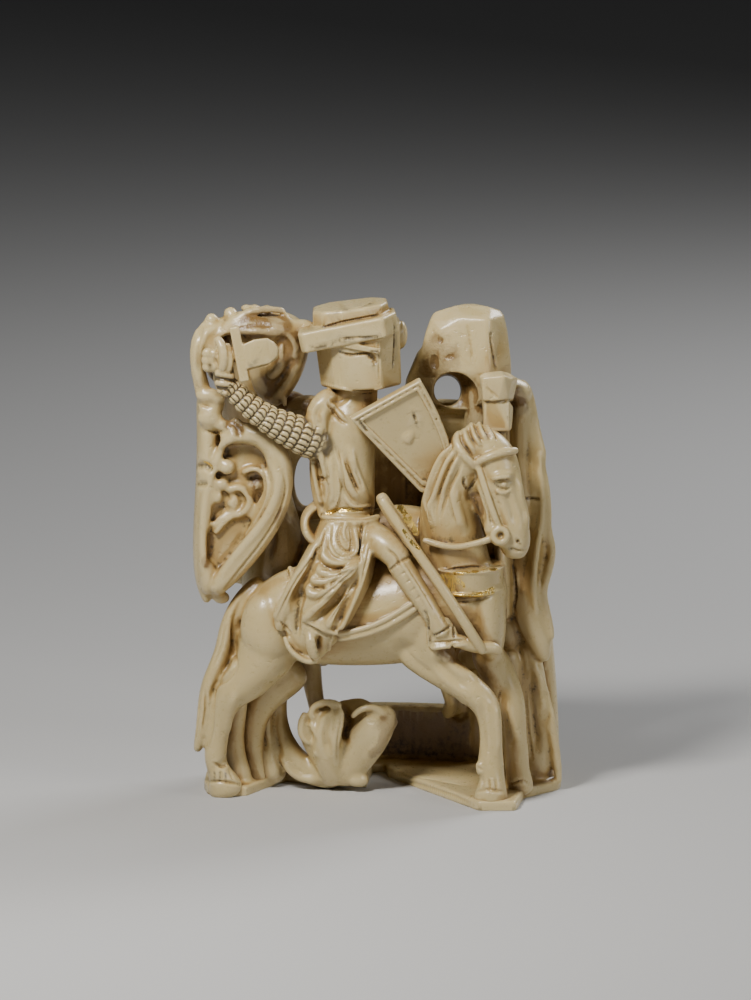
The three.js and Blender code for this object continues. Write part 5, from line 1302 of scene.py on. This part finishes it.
def makeIvory():
    material = bpy.data.materials.new("walrusIvory")
    material.use_nodes = True
    tree = material.node_tree
    nodes, links = tree.nodes, tree.links
    nodes.clear()
    output = nodes.new("ShaderNodeOutputMaterial")
    shader = nodes.new("ShaderNodeBsdfPrincipled")
    links.new(shader.outputs["BSDF"], output.inputs["Surface"])
    for name, value in shaderInputs.items():
        shader.inputs[name].default_value = value
    where = nodes.new("ShaderNodeTexCoord").outputs["Object"]

    def feed(socket, value):
        if isinstance(value, (int, float, tuple)):
            socket.default_value = value
        else:
            links.new(value, socket)

    def attribute(name):
        node = nodes.new("ShaderNodeAttribute")
        node.attribute_name = name
        return node.outputs["Fac"]

    def maths(operation, one, two):
        node = nodes.new("ShaderNodeMath")
        node.operation = operation
        feed(node.inputs[0], one)
        feed(node.inputs[1], two)
        return node.outputs[0]

    def times(one, two):
        return maths("MULTIPLY", one, two)

    def plus(one, two):
        return maths("ADD", one, two)

    def swayed(value, fog, amount):
        return plus(value, times(maths("SUBTRACT", fog, 0.5), amount))

    def between(value, low, high, outLow=0.0, outHigh=1.0):
        node = nodes.new("ShaderNodeMapRange")
        node.interpolation_type = "SMOOTHSTEP"
        for name, entry in (("Value", value), ("From Min", low), ("From Max", high), ("To Min", outLow),
                            ("To Max", outHigh)):
            feed(node.inputs[name], entry)
        return node.outputs["Result"]

    def noise(scale, detail, stretch=(1, 1, 1), roughness=0.55):
        mapping = nodes.new("ShaderNodeMapping")
        feed(mapping.inputs["Scale"], stretch)
        feed(mapping.inputs["Vector"], where)
        node = nodes.new("ShaderNodeTexNoise")
        for name, entry in (("Scale", scale), ("Detail", detail), ("Roughness", roughness),
                            ("Vector", mapping.outputs["Vector"])):
            feed(node.inputs[name], entry)
        return node.outputs["Fac"]

    def mix(share, one, two):
        node = nodes.new("ShaderNodeMix")
        node.data_type = "RGBA"
        for index, entry in ((0, share), (6, one), (7, two)):
            feed(node.inputs[index], entry)
        return node.outputs[2]

    recess, furrow, bareCoreAndShade = attribute("recess"), attribute("furrow"), attribute("coreAndShade")
    gilt, dirt, mailed = attribute("gilt"), attribute("dirt"), attribute("mail")
    cloud = noise(90, 5)            # slow changes over a centimetre
    streak = noise(260, 4, (1, 1, 0.18))   # upright fibres of the tusk
    speck = noise(1300, 5, roughness=0.7)
    marble = noise(420, 5, roughness=0.65)

    # Painted shade: recesses are warmed, then tanned, with a random cloudy tone and upright fibres
    warmShade = between(swayed(recess, cloud, layers["warmSway"]), *layers["warm"])
    colour = mix(warmShade, ivory["cream"], ivory["warm"])
    tanShade = between(swayed(recess, streak, layers["tanSway"]), *layers["tan"])
    colour = mix(times(tanShade, layers["tanShare"]), colour, ivory["tan"])
    # Brown marbled colour for the laid-bare core, and for painted shade in deep recesses and along the
    # painted lines
    deep = plus(between(recess, *layers["deep"]), bareCoreAndShade)
    marbledCoreAndShade = between(swayed(deep, marble, layers["marbleSway"]), *layers["marble"])
    marbledCoreAndShade = times(marbledCoreAndShade, between(deep, *layers["inCoreAndShade"]))
    colour = mix(times(marbledCoreAndShade, layers["coreAndShadeShare"]), colour, ivory["coreAndShade"])
    # Dark colour for dirt and painted shade in furrows, stronger in recesses. The dirt lines add only dirt.
    dirtAndShadeMask = times(between(furrow, *layers["soilAndShadeFurrow"]),
                    between(plus(speck, times(recess, layers["soilAndShadeRecess"])), *layers["soilAndShadeSpeck"]))
    # Dirt and painted shade in the mail's grooves, the bead tops left clear
    mailDirtAndShade = times(times(mailed, between(furrow, *layers["mailFurrow"])), layers["mailShare"])
    dirtAndShadeMask = maths("MAXIMUM", dirtAndShadeMask, mailDirtAndShade)
    dirtAndShadeMask = maths("MAXIMUM", dirtAndShadeMask, times(dirt, between(speck, *layers["dirtSpeck"])))
    colour = mix(times(dirtAndShadeMask, layers["soilAndShadeShare"]), colour, ivory["soilAndShade"])
    worn = times(between(furrow, *layers["worn"]), layers["wornShare"])
    colour = mix(worn, colour, ivory["polish"])
    goldShare = times(between(gilt, *layers["gilt"]), between(speck, *layers["giltSpeck"]))
    colour = mix(goldShare, colour, ivory["gold"])
    links.new(colour, shader.inputs["Base Color"])
    links.new(times(goldShare, ivory["goldMetal"]), shader.inputs["Metallic"])
    rough = swayed(between(recess, *layers["roughFrom"], ivory["roughness"], ivory["roughRecess"]), speck,
                   layers["roughSway"])
    links.new(maths("SUBTRACT", rough, times(goldShare, ivory["goldGloss"])), shader.inputs["Roughness"])

    bump = nodes.new("ShaderNodeBump")
    bump.inputs["Strength"].default_value = ivory["bumpStrength"]
    bump.inputs["Distance"].default_value = ivory["bumpDistance"]
    pits = between(noise(900, 3), *ivory["pits"])
    height = plus(times(speck, ivory["grainHeight"]), plus(pits, times(streak, ivory["grainHeight"])))
    height = plus(height, times(times(marble, deep), ivory["coreHeight"]))
    links.new(height, bump.inputs["Height"])
    links.new(bump.outputs["Normal"], shader.inputs["Normal"])
    return material


margin = 1e-6   # metres kept clear inside the box of the CAD
ivorySkin = makeIvory()
for piece in pieces.values():
    takeUp(piece)
    editAll()
    bpy.ops.transform.resize(value=(millimetre,) * 3, center_override=(0, 0, 0))
    bpy.ops.object.mode_set(mode="OBJECT")
    places = np.clip(meshArrays(piece.data)[0], np.array(cadBox[0]) + margin, np.array(cadBox[1]) - margin)
    piece.data.vertices.foreach_set("co", places.ravel())
    piece.data.update()
    takeUp(piece)
    bpy.ops.object.shade_smooth()
    piece.data.materials.clear()
    piece.data.materials.append(ivorySkin)
    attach(piece, "root")
    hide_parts("chess_knight")


# Stage, light and camera

stage = {
    "floor": (0.5, 0.5, 0.5, 1), "floorSize": 4, "floorPlace": (0, 0.6, 0), "floorRoughness": 0.9,
    "world": (0.75, 0.77, 0.80, 1), "worldStrength": 0.025, "distance": 1.1, "aim": (-0.0002, 0, 0.0417),
    "lit": (0, 0, 0.035), "sensor": 36, "clip": (0.01, 20),
}
lights = {   # place, size, power, colour
    "key": ((-0.1, -0.16, 0.23), 0.055, 0.9, (1.0, 0.97, 0.92)),
    "fill": ((0.5, -0.35, 0.25), 0.2, 1.0, (1.0, 0.98, 0.94)),
    "rim": ((0.3, 0.3, 0.35), 0.2, 1.6, (1, 1, 1)),
}


def makeStage():
    deselectAll()
    bpy.ops.mesh.primitive_plane_add(size=stage["floorSize"], location=stage["floorPlace"])
    floor = settle(bpy.context.object)
    floor.name = "studio_floor"
    paper = bpy.data.materials.new("studioPaper")
    paper.use_nodes = True
    skin = paper.node_tree.nodes["Principled BSDF"].inputs
    skin["Base Color"].default_value = stage["floor"]
    skin["Roughness"].default_value = stage["floorRoughness"]
    floor.data.materials.append(paper)
    world = bpy.context.scene.world or bpy.data.worlds.new("studio")
    bpy.context.scene.world = world
    world.use_nodes = True
    sky = world.node_tree.nodes["Background"].inputs
    sky["Color"].default_value = stage["world"]
    sky["Strength"].default_value = stage["worldStrength"]


def softLight(name, place, size, power, colour):
    deselectAll()
    bpy.ops.object.light_add(type="AREA", location=place)
    light = bpy.context.object
    light.name = name
    light.data.size = size
    light.data.energy = power
    light.data.color = colour
    towards = Vector(stage["lit"]) - Vector(place)
    light.rotation_euler = towards.to_track_quat("-Z", "Y").to_euler()


def makeCamera():
    deselectAll()
    bpy.ops.object.camera_add(location=Vector(stage["aim"]) - lookAlong * stage["distance"])
    camera = bpy.context.object
    camera.rotation_euler = lookAlong.to_track_quat("-Z", "Y").to_euler()
    camera.data.sensor_width = stage["sensor"]
    # as many dots a millimetre at the aim as in the photograph, which is a thousand dots high
    camera.data.lens = view["scale"] * stage["distance"] * stage["sensor"]
    camera.data.clip_start, camera.data.clip_end = stage["clip"]
    bpy.context.scene.camera = camera


print("stage")
makeStage()
for name, settings in lights.items():
    softLight(name, *settings)
makeCamera()
